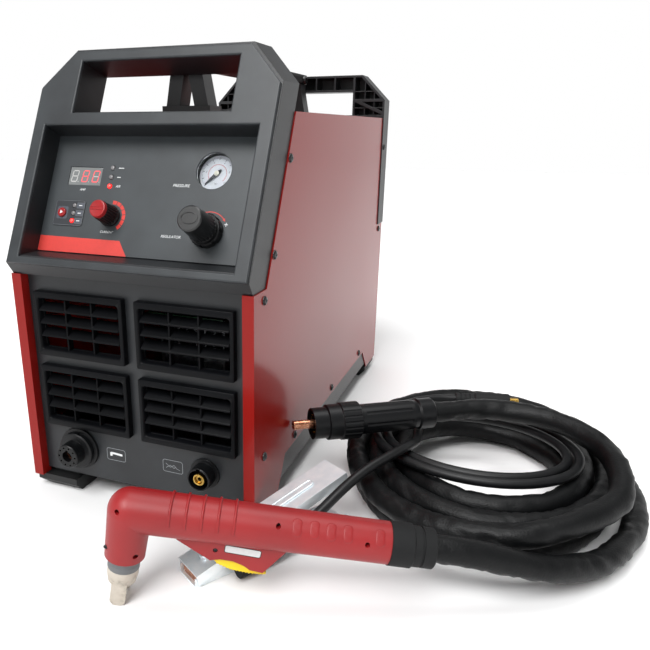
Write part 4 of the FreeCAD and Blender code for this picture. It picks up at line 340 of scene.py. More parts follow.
class Form:
    """Mesh gathered from rows of points, given in millimetres from the front flange plane."""

    def __init__(self):
        self.points, self.faces, self.looks = [], [], []

    def patch(self, loop, look=0):
        """One flat face round a loop of points."""
        start = len(self.points)
        self.points += loop
        self.faces.append(list(range(start, start + len(loop))))
        self.looks.append(look)

    def rows(self, rows, look=0, closed=True):
        """Faces between rows that each hold as many points."""
        start, wide = len(self.points), len(rows[0])
        for row in rows:
            self.points += row
        for j in range(len(rows) - 1):
            for i in range(wide if closed else wide - 1):
                a, b = start + j * wide + i, start + j * wide + (i + 1) % wide
                self.faces.append([a, b, b + wide, a + wide])
                self.looks.append(look)

    def turned(self, place, profile, look=0, sides=32):
        """Body of revolution: a profile of (radius, height) about the Z axis of place(x, y, z)."""
        self.rows([[place(*polar(r, a), h) for a in angles(sides)] for r, h in profile], look)

    def tube(self, line, radius):
        """Round bar along a line of points, closed at both ends."""
        rows = [[spot + (side * cos(a) + other * sin(a)) * radius for a in angles(12)]
                for spot, side, other in squares_along([Vector(spot) for spot in line])]
        self.rows(rows)
        self.patch(rows[0][::-1])
        self.patch(rows[-1])

    def make(self, name, finishes, body=CASE, smooth=40):
        """Blender object from what was gathered, riding on its body."""
        mesh = bpy.data.meshes.new(name)
        mesh.from_pydata([front(*spot) for spot in self.points], [], self.faces)
        for finish_name in finishes.split():
            mesh.materials.append(material(finish_name))
        for face, look in zip(mesh.polygons, self.looks):
            face.material_index = look
        knit = bmesh.new()
        knit.from_mesh(mesh)
        bmesh.ops.remove_doubles(knit, verts=knit.verts, dist=0.00001)
        knit.to_mesh(mesh)
        knit.free()
        soften(mesh, smooth)
        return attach(placed(name, mesh), body)


def paint(nodes, base, *others):
    """Give CAD nodes one finish, and others to the faces that a test picks by their place."""
    for mesh in (NODES[node].data for node in nodes.split()):
        mesh.materials.clear()
        for name in (base, *(name for name, _ in others)):
            mesh.materials.append(material(name))
        for face in mesh.polygons:
            spot = in_millimetres(face.center)
            face.material_index = max((i for i, (_, test) in enumerate(others, 1) if test(spot)), default=0)
        soften(mesh, 32)


def meshed(name, curve):
    """Mesh of a curve, which isn't kept itself."""
    carrier = placed(name, curve)
    bpy.context.view_layer.update()
    mesh = bpy.data.meshes.new_from_object(carrier.evaluated_get(bpy.context.evaluated_depsgraph_get()))
    bpy.data.objects.remove(carrier)
    bpy.data.curves.remove(curve)
    return mesh


SIZE_OVER_CAPITALS = 1.38


def lettering(form, text, tall, place, look=0):
    """Flat slanting letters so many millimetres tall, their middle at place(0, 0)."""
    curve = bpy.data.curves.new("lettering", "FONT")
    curve.body, curve.size, curve.shear = text, tall * SIZE_OVER_CAPITALS, 0.2
    curve.align_x = curve.align_y = "CENTER"
    mesh = meshed("lettering", curve)
    for face in mesh.polygons:
        form.patch([place(*mesh.vertices[i].co.xy) for i in face.vertices], look)
    bpy.data.meshes.remove(mesh)


def ring(place, inner, outer, start, end, lift, steps=24):
    """Flat band between two radii from one angle in degrees to another, as rows."""
    turns = [radians(start + (end - start) * i / steps) for i in range(steps + 1)]
    return [[place(*polar(radius, a), lift) for a in turns] for radius in (inner, outer)]


def rounded(wide, tall, radius, steps=6):
    """Loop of a rectangle with rounded corners, about its middle."""
    loop = []
    for k, (x, y) in enumerate(((1, 1), (-1, 1), (-1, -1), (1, -1))):
        for i in range(steps + 1):
            a, b = polar(radius, radians(90 * k + 90 * i / steps))
            loop.append((x * (wide / 2 - radius) + a, y * (tall / 2 - radius) + b))
    return loop


def outline(form, place, wide, tall, radius, line, look=0):
    """Rounded frame drawn with a line of some width."""
    inner = rounded(wide - 2 * line, tall - 2 * line, max(radius - line, 0.1))
    form.rows([[place(x, y) for x, y in loop] for loop in (rounded(wide, tall, radius), inner)], look)


def stroke(form, place, a, b, wide, look=0):
    """Straight printed line from a to b."""
    ahead = (Vector(b) - Vector(a)).normalized() * wide / 2
    side = Vector((-ahead.y, ahead.x))
    form.patch([place(*(Vector(p) + d)) for p, d in ((a, side), (a, -side), (b, -side), (b, side))], look)


def hexagon(angle, flat):
    """Distance from the middle to the side of a hexagon at an angle."""
    return flat / cos((angle + pi / 6) % (pi / 3) - pi / 6)


# Places on the object, in millimetres from the front flange plane

LEAN = radians(25.75)
FILM_Y, FILM_Z = 13.67, 245.72  # where the console's slope starts
GAUGE, REGULATOR, CURRENT_KNOB = (67, 110), (71.5, 50.5), (-36, 60)
KEYPAD, BUTTON, DISPLAY = (-86, 61.5), (-94, 61.5), (-75.5, 100.8)
PRINT_LIFT = 0.06
LOWER_FRONT_Y, SIGN_LIFT = 10.5, 0.08
LEFT_SIGN, RIGHT_SIGN = (-30, 53.6), (38, 53.6)
BOLT_Z = 450.5


def console(x, slope, lift=0.0):
    """Spot on the console film: across, up its slope, and out from it."""
    return x, FILM_Y + sin(LEAN) * slope - cos(LEAN) * lift, FILM_Z + cos(LEAN) * slope + sin(LEAN) * lift


def proud(spot):
    """How far a spot stands out from the console."""
    return (spot - Vector(console(0, 0))).dot(Vector((0, -cos(LEAN), sin(LEAN))))


def lower_front(x, z, lift=0.0):
    """Spot on the lower front panel."""
    return x, LOWER_FRONT_Y - lift, z


def squared(x, slope):
    """Place function for pieces standing square on the console at a spot."""
    return lambda a, b, h: console(x + a, slope + b, h)


def flat(place, x=0.0, y=0.0, lift=PRINT_LIFT):
    """Place function for print round a spot of a surface, lying so far over it."""
    return lambda a, b: place(x + a, y + b, lift)


def pose(x, y, z, *turns):
    """A piece's own frame: its origin, then turns by so many degrees about its axes."""
    made = Matrix.Translation((x, y, z))
    for degrees, axis in turns:
        made = made @ Matrix.Rotation(radians(degrees), 4, axis)
    return made


TORCH = pose(70.3, -116, 86.1, (20, "Z"), (7.3, "Y"))
TORCH_HEAD = TORCH @ pose(0, 0, 0, (2, "Y"))
CLAMP = pose(100.8, -80, 0, (57, "Z"))
UPPER_ARM = CLAMP @ pose(70, 0, 23, (-15, "Y"))
PLUG = pose(288, 289, 58.4, (14.4, "Z"))
CONNECTOR = pose(269.7, 190.4, 77.5, (34, "Z"))
ROCKER = pose(78, 531, 190, (-8, "X"))


def on(matrix):
    """Place function for points of a piece's own frame."""
    return lambda x, y, z: matrix @ Vector((x, y, z))


def inside(matrix, low, high):
    """Test that picks the spots in a box of a piece's own frame."""
    return lambda spot: all(a < seen < b for a, seen, b in zip(low, matrix.inverted() @ spot, high))


# Routes of the two free leads, the same points that the solids follow

# A spline lies inside its controls: by these shares where they stand 20 and 30 degrees apart on a turn
DRAWN_AT_20, DRAWN_AT_30 = 0.985, 0.966
COIL, COIL_INNER, PITCH, OVAL = (330, 195), 84.75, 25, 1.2
SETTLED, CLIMBS, TURNS_BACK, LEAVES = 45, 765, 855, 1690  # degrees along the coil
LEAD_RADIUS, LAYER = 12, 24.5
LOOPS, LOOPS_Z = (322, 180), 54.2


def coil_turns():
    """Turns of the torch lead's coil: inwards on the floor, then outwards in the layer above."""
    turns = []
    for step in range(90):
        angle = 20 * step - 47
        early, late = max(0, SETTLED - angle) / 92, max(0, angle - LEAVES)
        reach = COIL_INNER + PITCH * abs(max(angle, SETTLED) - TURNS_BACK) / 360 + 19 * early
        climbed = (1 - cos(radians(min(max(angle - CLIMBS, 0), 180)))) / 2
        a, b = polar(reach / DRAWN_AT_20, radians(angle))
        height = LEAD_RADIUS + LAYER * climbed + 8 * early ** 2 + 0.235 * late
        turns.append((COIL[0] + a, COIL[1] + OVAL * b, height))
    return turns


def thin_loops():
    """Two loops of the work lead on top of the coil, growing outwards."""
    loops = []
    for step in range(22):
        angle = 90 + 30 * step
        wide = 85 + 12 * angle / 360
        a, b = wide * cos(radians(angle)), (wide - 21) * sin(radians(angle))
        loops.append((LOOPS[0] - a / DRAWN_AT_30, LOOPS[1] + b / DRAWN_AT_30, LOOPS_Z))
    return loops


TORCH_ROUTE = [
    (303.3, -31.2, 54.3), (326.6, -22.7, 51.2), (350, -13, 45), (372, -3, 37), (400, 13, 29), (424, 36, 23),
    *coil_turns(),
    (451, 93, 54), (459, 122, 60), (456, 160, 67), (441, 190, 71.5), (415, 215, 74.5), (385, 228, 76.5),
    (355, 229, 77), (328, 224, 77.3), (304.5, 213.9, 77.5), (287, 202, 77.5), (269.7, 190.4, 77.5),
]
WORK_ROUTE = [
    (153.6, -42.8, 8), (159, -34.4, 8), (172, -13.5, 13.5), (191, 16, 31), (212, 43, 53), (228, 70, 62),
    (246, 97, 66.5), (256, 120, 66), (260.5, 140, 61.5), (261, 158, 55.8), (257.5, 185, 54.5),
    (258.5, 208, 54.2), (265, 226, 54.2), (278.5, 238.5, 54.2),
    *thin_loops(),
    (213.5, 200, 54.5), (218, 225, 55), (229, 250, 56), (247, 270, 57.4), (268, 283, 58.3),
    (276.4, 286, 58.4), (288, 289, 58.4),
]


def route_spline(name, route, fineness):
    """Open spline that has the route's points as its controls."""
    curve = bpy.data.curves.new(name, "CURVE")
    curve.dimensions = "3D"
    spline = curve.splines.new("NURBS")
    spline.points.add(len(route) - 1)
    for point, spot in zip(spline.points, route):
        point.co = (*front(*spot), 1.0)
    spline.order_u = 3
    spline.use_endpoint_u = True
    spline.resolution_u = fineness
    return curve


def drawn_line(route, step):
    """Points about so many millimetres apart along the smooth line that the route's spline draws."""
    mesh = meshed("drawn_line", route_spline("drawn_line", route, 12))
    fine = [in_millimetres(vertex.co) for vertex in mesh.vertices]
    bpy.data.meshes.remove(mesh)
    line = [fine[0]]
    for spot in fine[1:-1]:
        if (spot - line[-1]).length >= step:
            line.append(spot)
    return line + [fine[-1]]


def creased_sleeve(name, line, radius):
    """Cloth sleeve round a line: folds some 13 mm apart along it and sags some 46 mm apart, all inwards."""
    form, run, last, rows = Form(), 0.0, line[0], []
    for spot, side, other in squares_along(line):
        run += (spot - last).length
        last, row = spot, []
        for turn in angles(24):
            out = side * cos(turn) + other * sin(turn)
            fold = noise.noise(Vector((out.x * 0.9 + 3, out.y * 0.9, out.z * 0.9 + run / 13)))
            sag = noise.noise(Vector((out.x * 0.7, out.y * 0.7 + run / 46, out.z * 0.7 + 9)))
            depth = 2.1 * max(0.0, 1 - 3.0 * abs(fold)) * (0.5 + 1.1 * max(sag, -0.3)) + 0.9 * max(sag, 0)
            row.append(spot + out * (radius - max(0.0, depth)))
        rows.append(row)
    form.rows(rows)
    form.patch(rows[0][::-1])
    form.patch(rows[-1])
    return form.make(name, "coated_cloth_sleeve", CASE, 70)


class CUTTER_OT_leads(Operator):
    """Sleeved torch lead from the cuff through its coil to the connector, and the thin work lead on it"""
    bl_idname = "cutter.leads"
    bl_label = "Leads"

    def execute(self, context):
        line = drawn_line(TORCH_ROUTE, 3.5)
        torch = creased_sleeve("torch_cord", line, LEAD_RADIUS)
        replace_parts(torch, "torch_lead", "torch_lead_coil")
        front(*TORCH_ROUTE[0])
        [front(*spot) for spot in line]
        curve = route_spline("work_cord", WORK_ROUTE, 5)
        curve.bevel_depth, curve.bevel_resolution, curve.use_fill_caps = 0.005, 6, True
        curve.materials.append(material("extruded_rubber_jacket"))
        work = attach(placed("work_cord", curve), CASE)
        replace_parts(work, "work_lead", "work_lead_loops")
        front(*WORK_ROUTE[0])
        return {"FINISHED"}


# Case

def cross_screw(form, place, radius, tall):
    """Domed head with a cross recess, standing on the plane of place(x, y, z)."""
    arms = {pi / 2 * k + radians(d) for k in range(4) for d in (-11.5, 11.5)}
    turns = sorted({*angles(32), *arms})
    reach, arm = 0.5 * radius, 0.1 * radius

    def recess(angle, share):
        across, down = max(abs(cos(angle)), 1e-6), max(abs(sin(angle)), 1e-6)
        return share * max(min(reach / across, arm / down), min(reach / down, arm / across))
    rows = [[place(*polar(r * radius, a), h * tall) for a in turns]
            for r, h in ((1, 0), (0.98, 0.35), (0.88, 0.7), (0.7, 0.93), (0.55, 1.0))]
    for share, height in ((1, 1.0), (0.85, 0.35)):
        rows.append([place(*polar(recess(a, share), a), height * tall) for a in turns])
    form.rows(rows)
    form.patch(rows[-1])


# Screws of a side panel: y, z, and how far from the middle the head's seat is
SIDE_SCREWS = [(42.9 + (z - 256.8) * tan(LEAN), z, 132.5) for z in (356, 271.5)] \
    + [(25, 234, 132.5), (25, 76.7, 132.5), (511.5, 234, 132.5), (511.5, 356, 134)] \
    + [(268 + 150 * k, 58, 132.5) for k in (-1, 0, 1)]


def case_screws():
    """Screws of both side panels, bolts of the carrying handle's posts, and the shank of the rear bolt."""
    screws = Form()
    for side in (-1, 1):
        for y, z, seat in SIDE_SCREWS:
            cross_screw(screws, lambda a, b, h: (side * (seat + h), y + a * side, z + b), 4.4, 2.2)
        for y in (150, 470):
            def place(a, b, h):
                return side * (20 + h), y + a * side, BOLT_Z + b
            screws.turned(place, [(6.5, 0), (6.5, 2.4), (5.9, 3.2), (4.6, 3.5), (3.3, 3.5)])
            key = [[place(*polar(r, a), h) for a in angles(6)]
                   for r, h in ((3.3, 3.5), (2.9, 3.5), (2.8, 1.2))]
            screws.rows(key)
            screws.patch(key[-1])
        screws.tube([(0, 470, BOLT_Z), (side * 20, 470, BOLT_Z)], 3)
    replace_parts(screws.make("domed_screws", "black_oxide_steel"), "case_screws")


class CUTTER_OT_case(Operator):
    """Painted steel case with its feet and cross-recess screws"""
    bl_idname = "cutter.case"
    bl_label = "Case"

    def execute(self, context):
        paint("left_side_panel right_side_panel top_cover rear_panel", "powder_coated_steel")
        paint("base_pan", "black_baked_enamel")
        paint("feet", "black_moulded_elastomer")
        case_screws()
        return {"FINISHED"}


# Front and frames

def louvres():
    """Four louvred inserts: softened frame, two dividers and three slats that lean back."""
    vents = Form()
    # Width, height, corner radius and y of the frame's rings, then the sections of a divider and a slat
    rings = [(104.5, 68, 1.6, 10.5), (104.5, 68, 1.6, 3.9), (104.0, 67.5, 1.4, 3.3), (103.0, 66.5, 1.1, 3.0),
             (97.4, 55.9, 3.4, 3.0), (96.3, 54.8, 3.0, 3.5), (94.2, 52.7, 2.4, 6.0), (93.2, 51.7, 2.2, 13.4)]
    bar = [(-0.9, 12.5), (-0.9, 5.4), (0, 4.8), (0.9, 5.4), (0.9, 12.5)]
    slat = [(3.9, 0.5), (4.3, 0.0), (13.0, 6.2), (12.9, 8.0), (4.9, 2.1), (4.1, 1.4)]
    for x, z in ((-59, 113.5), (59, 113.5), (-59, 192.3), (59, 192.3)):
        vents.rows([[(x + a, y, z + b) for a, b in rounded(wide, tall, radius, 4)]
                    for wide, tall, radius, y in rings])
        for third in (-15.6, 15.6):
            vents.rows([[(x + third + a, y, z + b) for a, y in bar] for b in (-26, 26)], 0, False)
        for low in (-13.5, 0.0, 13.5):
            vents.rows([[(x + a, y, z + low + b) for y, b in slat] for a in (-46.7, 46.7)])
    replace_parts(vents.make("louvres", "gloss_black_abs"), "vent_grilles")


def socket_signs():
    """Plain outlines of a torch and a clamp beside the sockets, each in a frame."""
    signs = Form()
    left, right = (flat(lower_front, *sign, SIGN_LIFT) for sign in (LEFT_SIGN, RIGHT_SIGN))
    for place in (left, right):
        outline(signs, place, 23, 14, 2.6, 0.5, 1)
    torch = [(-7.5, -2.2), (-7.5, 1.6), (-5.4, 2.6), (7.6, 1.8), (7.6, -0.6), (-4.2, 0.2), (-5.0, -2.2)]
    signs.patch([left(a, b) for a, b in torch])
    clamp = [(-8, 2.6), (-3, -1.4), (1.5, 1.6), (4.5, -1.8), (8.2, -3.0)]
    jaw = [(-8, -2.6), (-3, 1.0), (1.5, -2.0), (3.0, -0.2)]
    for line in (clamp, jaw):
        for a, b in zip(line, line[1:]):
            stroke(signs, right, a, b, 0.5, 1)
    signs.make("socket_signs", "white_screen_ink silver_screen_ink")


class CUTTER_OT_front(Operator):
    """Lower front with its louvres and the two socket signs"""
    bl_idname = "cutter.front"
    bl_label = "Lower front"

    def execute(self, context):
        paint("lower_front_panel", "satin_black_abs")
        louvres()
        socket_signs()
        return {"FINISHED"}


def rear_frame_lattice():
    """Thin ribs across the open corners of the rear frame, on both sides."""
    lattice = Form()
    for side in (-1, 1):
        for x0, z0, x1, z1 in ((103.4, 403, 104.6, 450), (117.4, 403, 118.6, 436.5),
                               (89, 411.4, 132.5, 412.6), (89, 434.4, 120, 435.6)):
            loop = [(side * x0, z0), (side * x1, z0), (side * x1, z1), (side * x0, z1)][::side]
            lattice.rows([[(x, y, z) for x, z in loop] for y in (530.9, 502.2)])
            lattice.patch([(x, 502.2, z) for x, z in loop])
    lattice.make("rear_frame_lattice", "charcoal_moulded_abs")


class CUTTER_OT_shroud(Operator):
    """Moulded front and rear frames"""
    bl_idname = "cutter.shroud"
    bl_label = "Frames"

    def execute(self, context):
        paint("front_shroud rear_shroud", "charcoal_moulded_abs")
        paint("front_bezel", "face_moulded_abs")
        rear_frame_lattice()
        return {"FINISHED"}


# Console

def lamp_domes():
    """Two columns of three small domes; the lowest of each is lit, and paler in its middle."""
    lamps = Form()
    for x, slope in [(-44.2, s) for s in (110, 100.5, 91)] + [(-80.8, s) for s in (69.5, 61.5, 53.5)]:
        on_now, place = int(slope in (91, 53.5)), squared(x, slope)
        lamps.turned(place, [(2.6, -3.0), (2.3, -3.0), (2.25, 0.75), (2.0, 1.12), (1.45, 1.33)], on_now, 24)
        lamps.turned(place, [(1.45, 1.33), (0.8, 1.4), (0.01, 1.4)], 2 * on_now, 24)
    made = lamps.make("lamp_domes", "clear_epoxy_unlit lit_red_epoxy lit_red_epoxy_middle")
    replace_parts(made, "indicator_lamps")


def turning_knob():
    """Knob of the current: ribbed black skirt under a red cap with a grip bar across its face."""
    knob, place = Form(), squared(*CURRENT_KNOB)
    skirt = [(1.25, 10.6, 0), (3.4, 10.7, 0), (4.0, 10.1, 0.1), (4.6, 10.0, 0.8), (19.0, 9.3, 0.8),
             (19.6, 9.1, 0), (20.0, 8.6, 0)]
    knob.rows([[place(*polar(outer - groove * max(0.0, cos(20 * a)), a), lift) for a in angles(120)]
               for lift, outer, groove in skirt])
    knob.turned(place, [(8.6, 20.0), (8.65, 20.3), (8.6, 23.5), (8.3, 24.1), (7.7, 24.35), (7.2, 24.3),
                        (0.01, 24.1)], 1, 48)
    knob.rows([[place(x, y, h) for y, h in ((-1.3, 24.1), (-1.0, 24.5), (1.0, 24.5), (1.3, 24.1))]
               for x in (-6.9, 6.9)], 1, False)
    made = knob.make("turning_knob", "black_moulded_pa6 red_moulded_abs", "current_knob")
    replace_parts(made, "current_knob")


# Middles of a digit's bars, lettered from the top round to the one across, and whether they stand upright
BARS = {"a": (0, 5.7, 0), "b": (3.3, 2.85, 1), "c": (3.3, -2.85, 1), "d": (0, -5.7, 0),
        "e": (-3.3, -2.85, 1), "f": (-3.3, 2.85, 1), "g": (0, 0, 0)}
LIT_BARS = {"0": "abcdef", "1": "bc", "2": "abdeg", "3": "abcdg", "4": "bcfg", "5": "acdfg", "6": "acdefg",
            "7": "abc", "8": "abcdefg", "9": "abcdfg", " ": ""}


def display_digits():
    """Three slanting digits behind the window; bars that are off still show as pale bars."""
    shown, thick, slant, pitch, sunk = Form(), 0.56, 0.13, 12.6, -0.52
    for i, sign in enumerate(looks().display_number.rjust(3)[-3:]):
        place = flat(console, DISPLAY[0] + (i - 1) * pitch, DISPLAY[1], sunk)
        for name, (x, y, upright) in BARS.items():
            tip = (5.7 if upright else 6.6) / 2 - 0.16
            edge = tip - thick
            bar = [(-tip, 0), (-edge, thick), (edge, thick), (tip, 0), (edge, -thick), (-edge, -thick)]
            turned = [(-b, a) if upright else (a, b) for a, b in bar]
            shown.patch([place(x + a + slant * (y + b), y + b) for a, b in turned],
                        int(name in LIT_BARS[sign]))
        point = [polar(0.5, a) for a in angles(12)]
        shown.patch([place(4.6 + a, -5.7 + b) for a, b in point])
    shown.make("display_digits", "unlit_segment_epoxy lit_segment_epoxy")


def console_print():
    """Words, small marks, the stripe and the arcs round the knobs, printed on the film."""
    words, tall = Form(), looks().letter_height * 1000
    for text, x, slope, share in (("AMP", -75.6, 86.4, 0.78), ("CURRENT", -38, 44, 0.8),
                                  ("PRESSURE", 35.5, 94, 1.0), ("REGULATOR", 34, 43.5, 0.9),
                                  ("AIR", -34.4, 91, 0.85)):
        lettering(words, text, tall * share, flat(console, x, slope))
    dashes = [((-37.5, 100.5), (-33.3, 100.5)), ((-37.5, 110), (-31.3, 110))]
    plus = [((87.4, 58.4), (90.8, 58.4)), ((89.1, 56.6), (89.1, 60.2))]
    for a, b in dashes + plus:
        stroke(words, flat(console), a, b, 0.7)
    stripe = [(-115.8, 36.7), (-21, 36), (-10.6, 20.9), (-115.8, 20.9)]
    words.patch([console(*corner, 0.05) for corner in stripe], 1)
    for start in range(-52, 95, 21):
        words.rows(ring(squared(*CURRENT_KNOB), 12.6, 16.3, start, start + 18.5, PRINT_LIFT, 6), 1, False)
    words.rows(ring(squared(*REGULATOR), 18.9, 19.7, 42, 128, PRINT_LIFT), 1, False)
    arrow = [polar(reach, radians(turn)) for reach, turn in ((17.9, 42.5), (20.7, 42.5), (19.3, 33.5))]
    words.patch([flat(console, *REGULATOR)(a, b) for a, b in arrow], 1)
    words.make("console_print", "white_screen_ink red_screen_ink")


def keypad_print():
    """Frame and plates on the keypad, the largest with a hole for the button, and the button's arrow."""
    lines, over_film, on_plate = Form(), 0.64, 0.68
    outline(lines, flat(console, *KEYPAD, on_plate), 35, 26, 2.6, 0.45)
    hole = [polar(4.8, radians(45 + (k - 3) * 360 / 28)) for k in range(28)]
    plate = flat(console, *BUTTON, over_film)
    lines.rows([[plate(a, b) for a, b in loop] for loop in (rounded(13, 13, 2), hole)], 2)
    for slope in (53.5, 61.5, 69.5):
        lines.patch([console(-73.4 + a, slope + b, over_film) for a, b in rounded(9.2, 6, 1.2)], 2)
        outline(lines, flat(console, -73.4, slope, on_plate), 9.2, 6, 1.2, 0.4)
        stroke(lines, flat(console, 0, slope, on_plate), (-75.4, 0), (-71.6, 0), 0.8, 1)
    lines.make("keypad_print", "grey_screen_ink white_screen_ink slate_screen_ink")
    arrow = Form()
    arrow.patch([flat(console, *BUTTON, 2.66)(a, b) for a, b in ((-1.3, 1.9), (-1.3, -1.9), (2.1, 0))])
    arrow.make("button_arrow", "white_screen_ink", "mode_button")


class CUTTER_OT_console(Operator):
    """Console film with its print, display, lamps, mode selector and current knob"""
    bl_idname = "cutter.console"
    bl_label = "Console"

    def execute(self, context):
        paint("control_panel", "textured_polyester_film")
        paint("mode_keypad", "embossed_polyester_film")
        paint("control_board", "green_solder_mask", ("black_moulded_pa6", lambda p: proud(p) > -17.9))
        paint("display_module", "smoked_acrylic")
        paint("mode_button", "red_moulded_abs")
        lamp_domes()
        turning_knob()
        display_digits()
        console_print()
        keypad_print()
        return {"FINISHED"}


def gauge_dial():
    """Dial card: scale from 0 to 10 bar with a finer red one inside it, and the hub over the needle."""
    dial, place, card, ink = Form(), squared(*GAUGE), -8.92, -8.86
    inked = flat(place, 0, 0, ink)
    dial.patch([place(*polar(18.4, a), card) for a in angles(48)])
    for step in range(51):
        way = Vector(polar(1, radians(225 - 5.4 * step)))
        long, wide = (2.6, 0.55) if step % 5 == 0 else (1.3, 0.28)
        stroke(dial, inked, way * 16.6, way * (16.6 - long), wide, 1)
    for step in range(0, 11, 2):
        lettering(dial, str(step), 1.9, flat(place, *polar(12.2, radians(225 - 27 * step)), ink), 1)
    lettering(dial, "bar", 1.7, flat(place, 0, -9.6, ink), 1)
    dial.rows(ring(place, 9.4, 9.75, -45, 225, ink, 48), 2, False)
    for step in range(28):
        way = Vector(polar(1, radians(225 - 10 * step)))
        stroke(dial, inked, way * 9.4, way * 8.5, 0.2, 2)
    dial.make("gauge_dial", "enamelled_tin blue_grey_dial_ink red_dial_ink")
    hub = Form()
    hub.turned(place, [(2.6, -7.28), (2.6, -6.75), (2.2, -6.5), (0.01, -6.4)])
    hub.make("gauge_hub", "cream_moulded_acetal", "gauge_pointer")


class CUTTER_OT_gauge(Operator):
    """Pressure gauge: dial card with its print, needle, hub and pane"""
    bl_idname = "cutter.gauge"
    bl_label = "Pressure gauge"

    def execute(self, context):
        paint("gauge_case", "black_moulded_pa6")
        paint("gauge_lens", "polycarbonate_pane")
        paint("gauge_pointer", "grey_lacquered_aluminium")
        gauge_dial()
        return {"FINISHED"}


class CUTTER_OT_regulator(Operator):
    """Air regulator: collar, spindle and the knob with its embossed top"""
    bl_idname = "cutter.regulator"
    bl_label = "Regulator"

    def execute(self, context):
        paint("regulator_body", "pressure_cast_zinc", ("black_moulded_pa6", lambda p: proud(p) > -0.1))
        paint("regulator_spindle", "turned_brass")
        paint("regulator_knob", "polished_black_nylon")
        badge, place = Form(), squared(*REGULATOR)
        badge.rows([[place(8.6 * share * cos(a), 5.6 * share * sin(a), lift) for a in angles(48)]
                    for share, lift in ((1.0, 38.95), (0.97, 39.45), (0.9, 39.5), (0.86, 39.1))])
        badge.make("regulator_knob_badge", "polished_black_nylon", "regulator_knob")
        return {"FINISHED"}


# Sockets, back and inside

def hole_mouths():
    """Painted shade: black rims round the ten holes in the torch socket's face, where their shadow falls."""
    mouths = Form()
    for step in range(10):
        x, z = polar(10, radians(36 * step))
        mouths.rows([[(x - 75 + r * cos(a), -13.54, z + 54 + r * sin(a)) for a in angles(24)]
                     for r in (1.95, 1.1)])
    mouths.make("hole_mouths", "hole_mouth_pa6")


def contact_seat():
    """Brass seat in the work socket, with a hexagonal hole."""
    seat, rows = Form(), []
    for y, radius in ((-2.4, 4.55), (-2.6, 3.6), (-2.6, 0), (1.5, 0)):
        loop = [polar(radius or hexagon(a, 1.9), a) for a in angles(24)]
        rows.append([(75 + a, y, 54 + b) for a, b in loop])
    seat.rows(rows)
    seat.make("contact_seat", "turned_brass")


class CUTTER_OT_sockets(Operator):
    """Torch socket and work-lead socket with their contacts"""
    bl_idname = "cutter.sockets"
    bl_label = "Sockets"

    def execute(self, context):
        paint("torch_socket work_socket", "black_moulded_pa6")
        paint("socket_contacts", "drawn_copper", ("turned_brass", lambda p: p.x > 0))
        # painted shade round the holes of the torch socket's face
        hole_mouths()
        contact_seat()
        return {"FINISHED"}


class CUTTER_OT_rear(Operator):
    """Fan, guard, mains switch, cable gland and air inlet at the back"""
    bl_idname = "cutter.rear"
    bl_label = "Rear fittings"

    def execute(self, context):
        paint("fan_frame fan_rotor switch_body mains_gland", "black_moulded_pa6")
        paint("fan_guard", "nickel_plated_wire")
        paint("switch_rocker", "black_rocker_nylon")
        paint("air_inlet", "turned_brass")
        marks = Form()

        def put(a, b):
            """Spot on the rocker's face, which rises towards both of its ends."""
            return on(ROCKER)(a, 2.06 + 0.182 * abs(b), b)
        marks.rows([[put(r * cos(t), -3.6 + r * sin(t)) for t in angles(24)] for r in (1.9, 1.5)])
        marks.patch([put(a, b) for a, b in ((-0.25, 2.0), (0.25, 2.0), (0.25, 5.4), (-0.25, 5.4))])
        marks.make("rocker_marks", "white_screen_ink", "switch_rocker")
        return {"FINISHED"}


class CUTTER_OT_inside(Operator):
    """Heat sink, inverter, transformer and valve that show through the louvres"""
    bl_idname = "cutter.inside"
    bl_label = "Inner parts"

    def execute(self, context):
        paint("heat_sink", "extruded_aluminium")
        paint("inverter_board", "green_solder_mask", ("black_moulded_pa6", lambda p: p.z > 151.7),
              ("extruded_aluminium", lambda p: p.z > 193.4))
        paint("transformer", "sintered_ferrite", ("enamelled_copper_wire", lambda p: abs(p.y - 290) > 20.1))
        paint("solenoid_valve", "turned_brass", ("black_moulded_pa6", lambda p: p.z > 55.6))
        return {"FINISHED"}


class CUTTER_OT_carry_handle(Operator):
    """Carrying handle on top: posts, strap and ribbed grip"""
    bl_idname = "cutter.carry_handle"
    bl_label = "Carrying handle"

    def execute(self, context):
        paint("handle_posts", "charcoal_moulded_abs")
        paint("handle_strap", "powder_coated_strap")
        paint("handle_grip", "moulded_grip_rubber")
        return {"FINISHED"}


# Torch and its connector

def on_grip(along, round_by, lift=0.0):
    """Spot on the torch's handle: so far along it and so many degrees up from its near side."""
    near, up = polar(18.5 - 1.2 * along / 213 + lift, radians(round_by))
    return TORCH @ Vector((along, -near, up))


def torch_ring_skirt():
    """Lower edge of the grey ring, down to the cup."""
    skirt = Form()
    skirt.turned(on(TORCH_HEAD), [(13.25, -48.9), (13.62, -48.9), (13.62, -54.0), (13.45, -54.4),
                                  (13.15, -54.4)])
    skirt.make("torch_ring_skirt", "grey_moulded_peek")


def grip_pads():
    """Row of shallow raised pads behind the ribs, for the grip of the fingers."""
    pads = Form()
    for along in (136, 150, 163.5, 177, 203):
        levels = [[on_grip(along + a * size, 42 + b * size * 3.1, lift) for a, b in rounded(8, 16, 3.9)]
                  for size, lift in ((1.0, -0.05), (0.9, 0.42), (0.78, 0.5))]
        pads.rows(levels)
        pads.patch(levels[-1])
    pads.make("grip_pads", "red_glass_filled_nylon")


def rounded_grip_ribs():
    """Five rounded ribs over the top of the grip, which sink into it at both ends."""
    ribs = Form()
    for step in range(5):
        turns = [24 + 132 * i / 24 for i in range(25)]
        ribs.tube([on_grip(34 + 13 * step, t, 0.35 - 1.6 * (abs(t - 90) / 66) ** 8) for t in turns], 1.15)
    ribs.make("rounded_grip_ribs", "red_glass_filled_nylon")


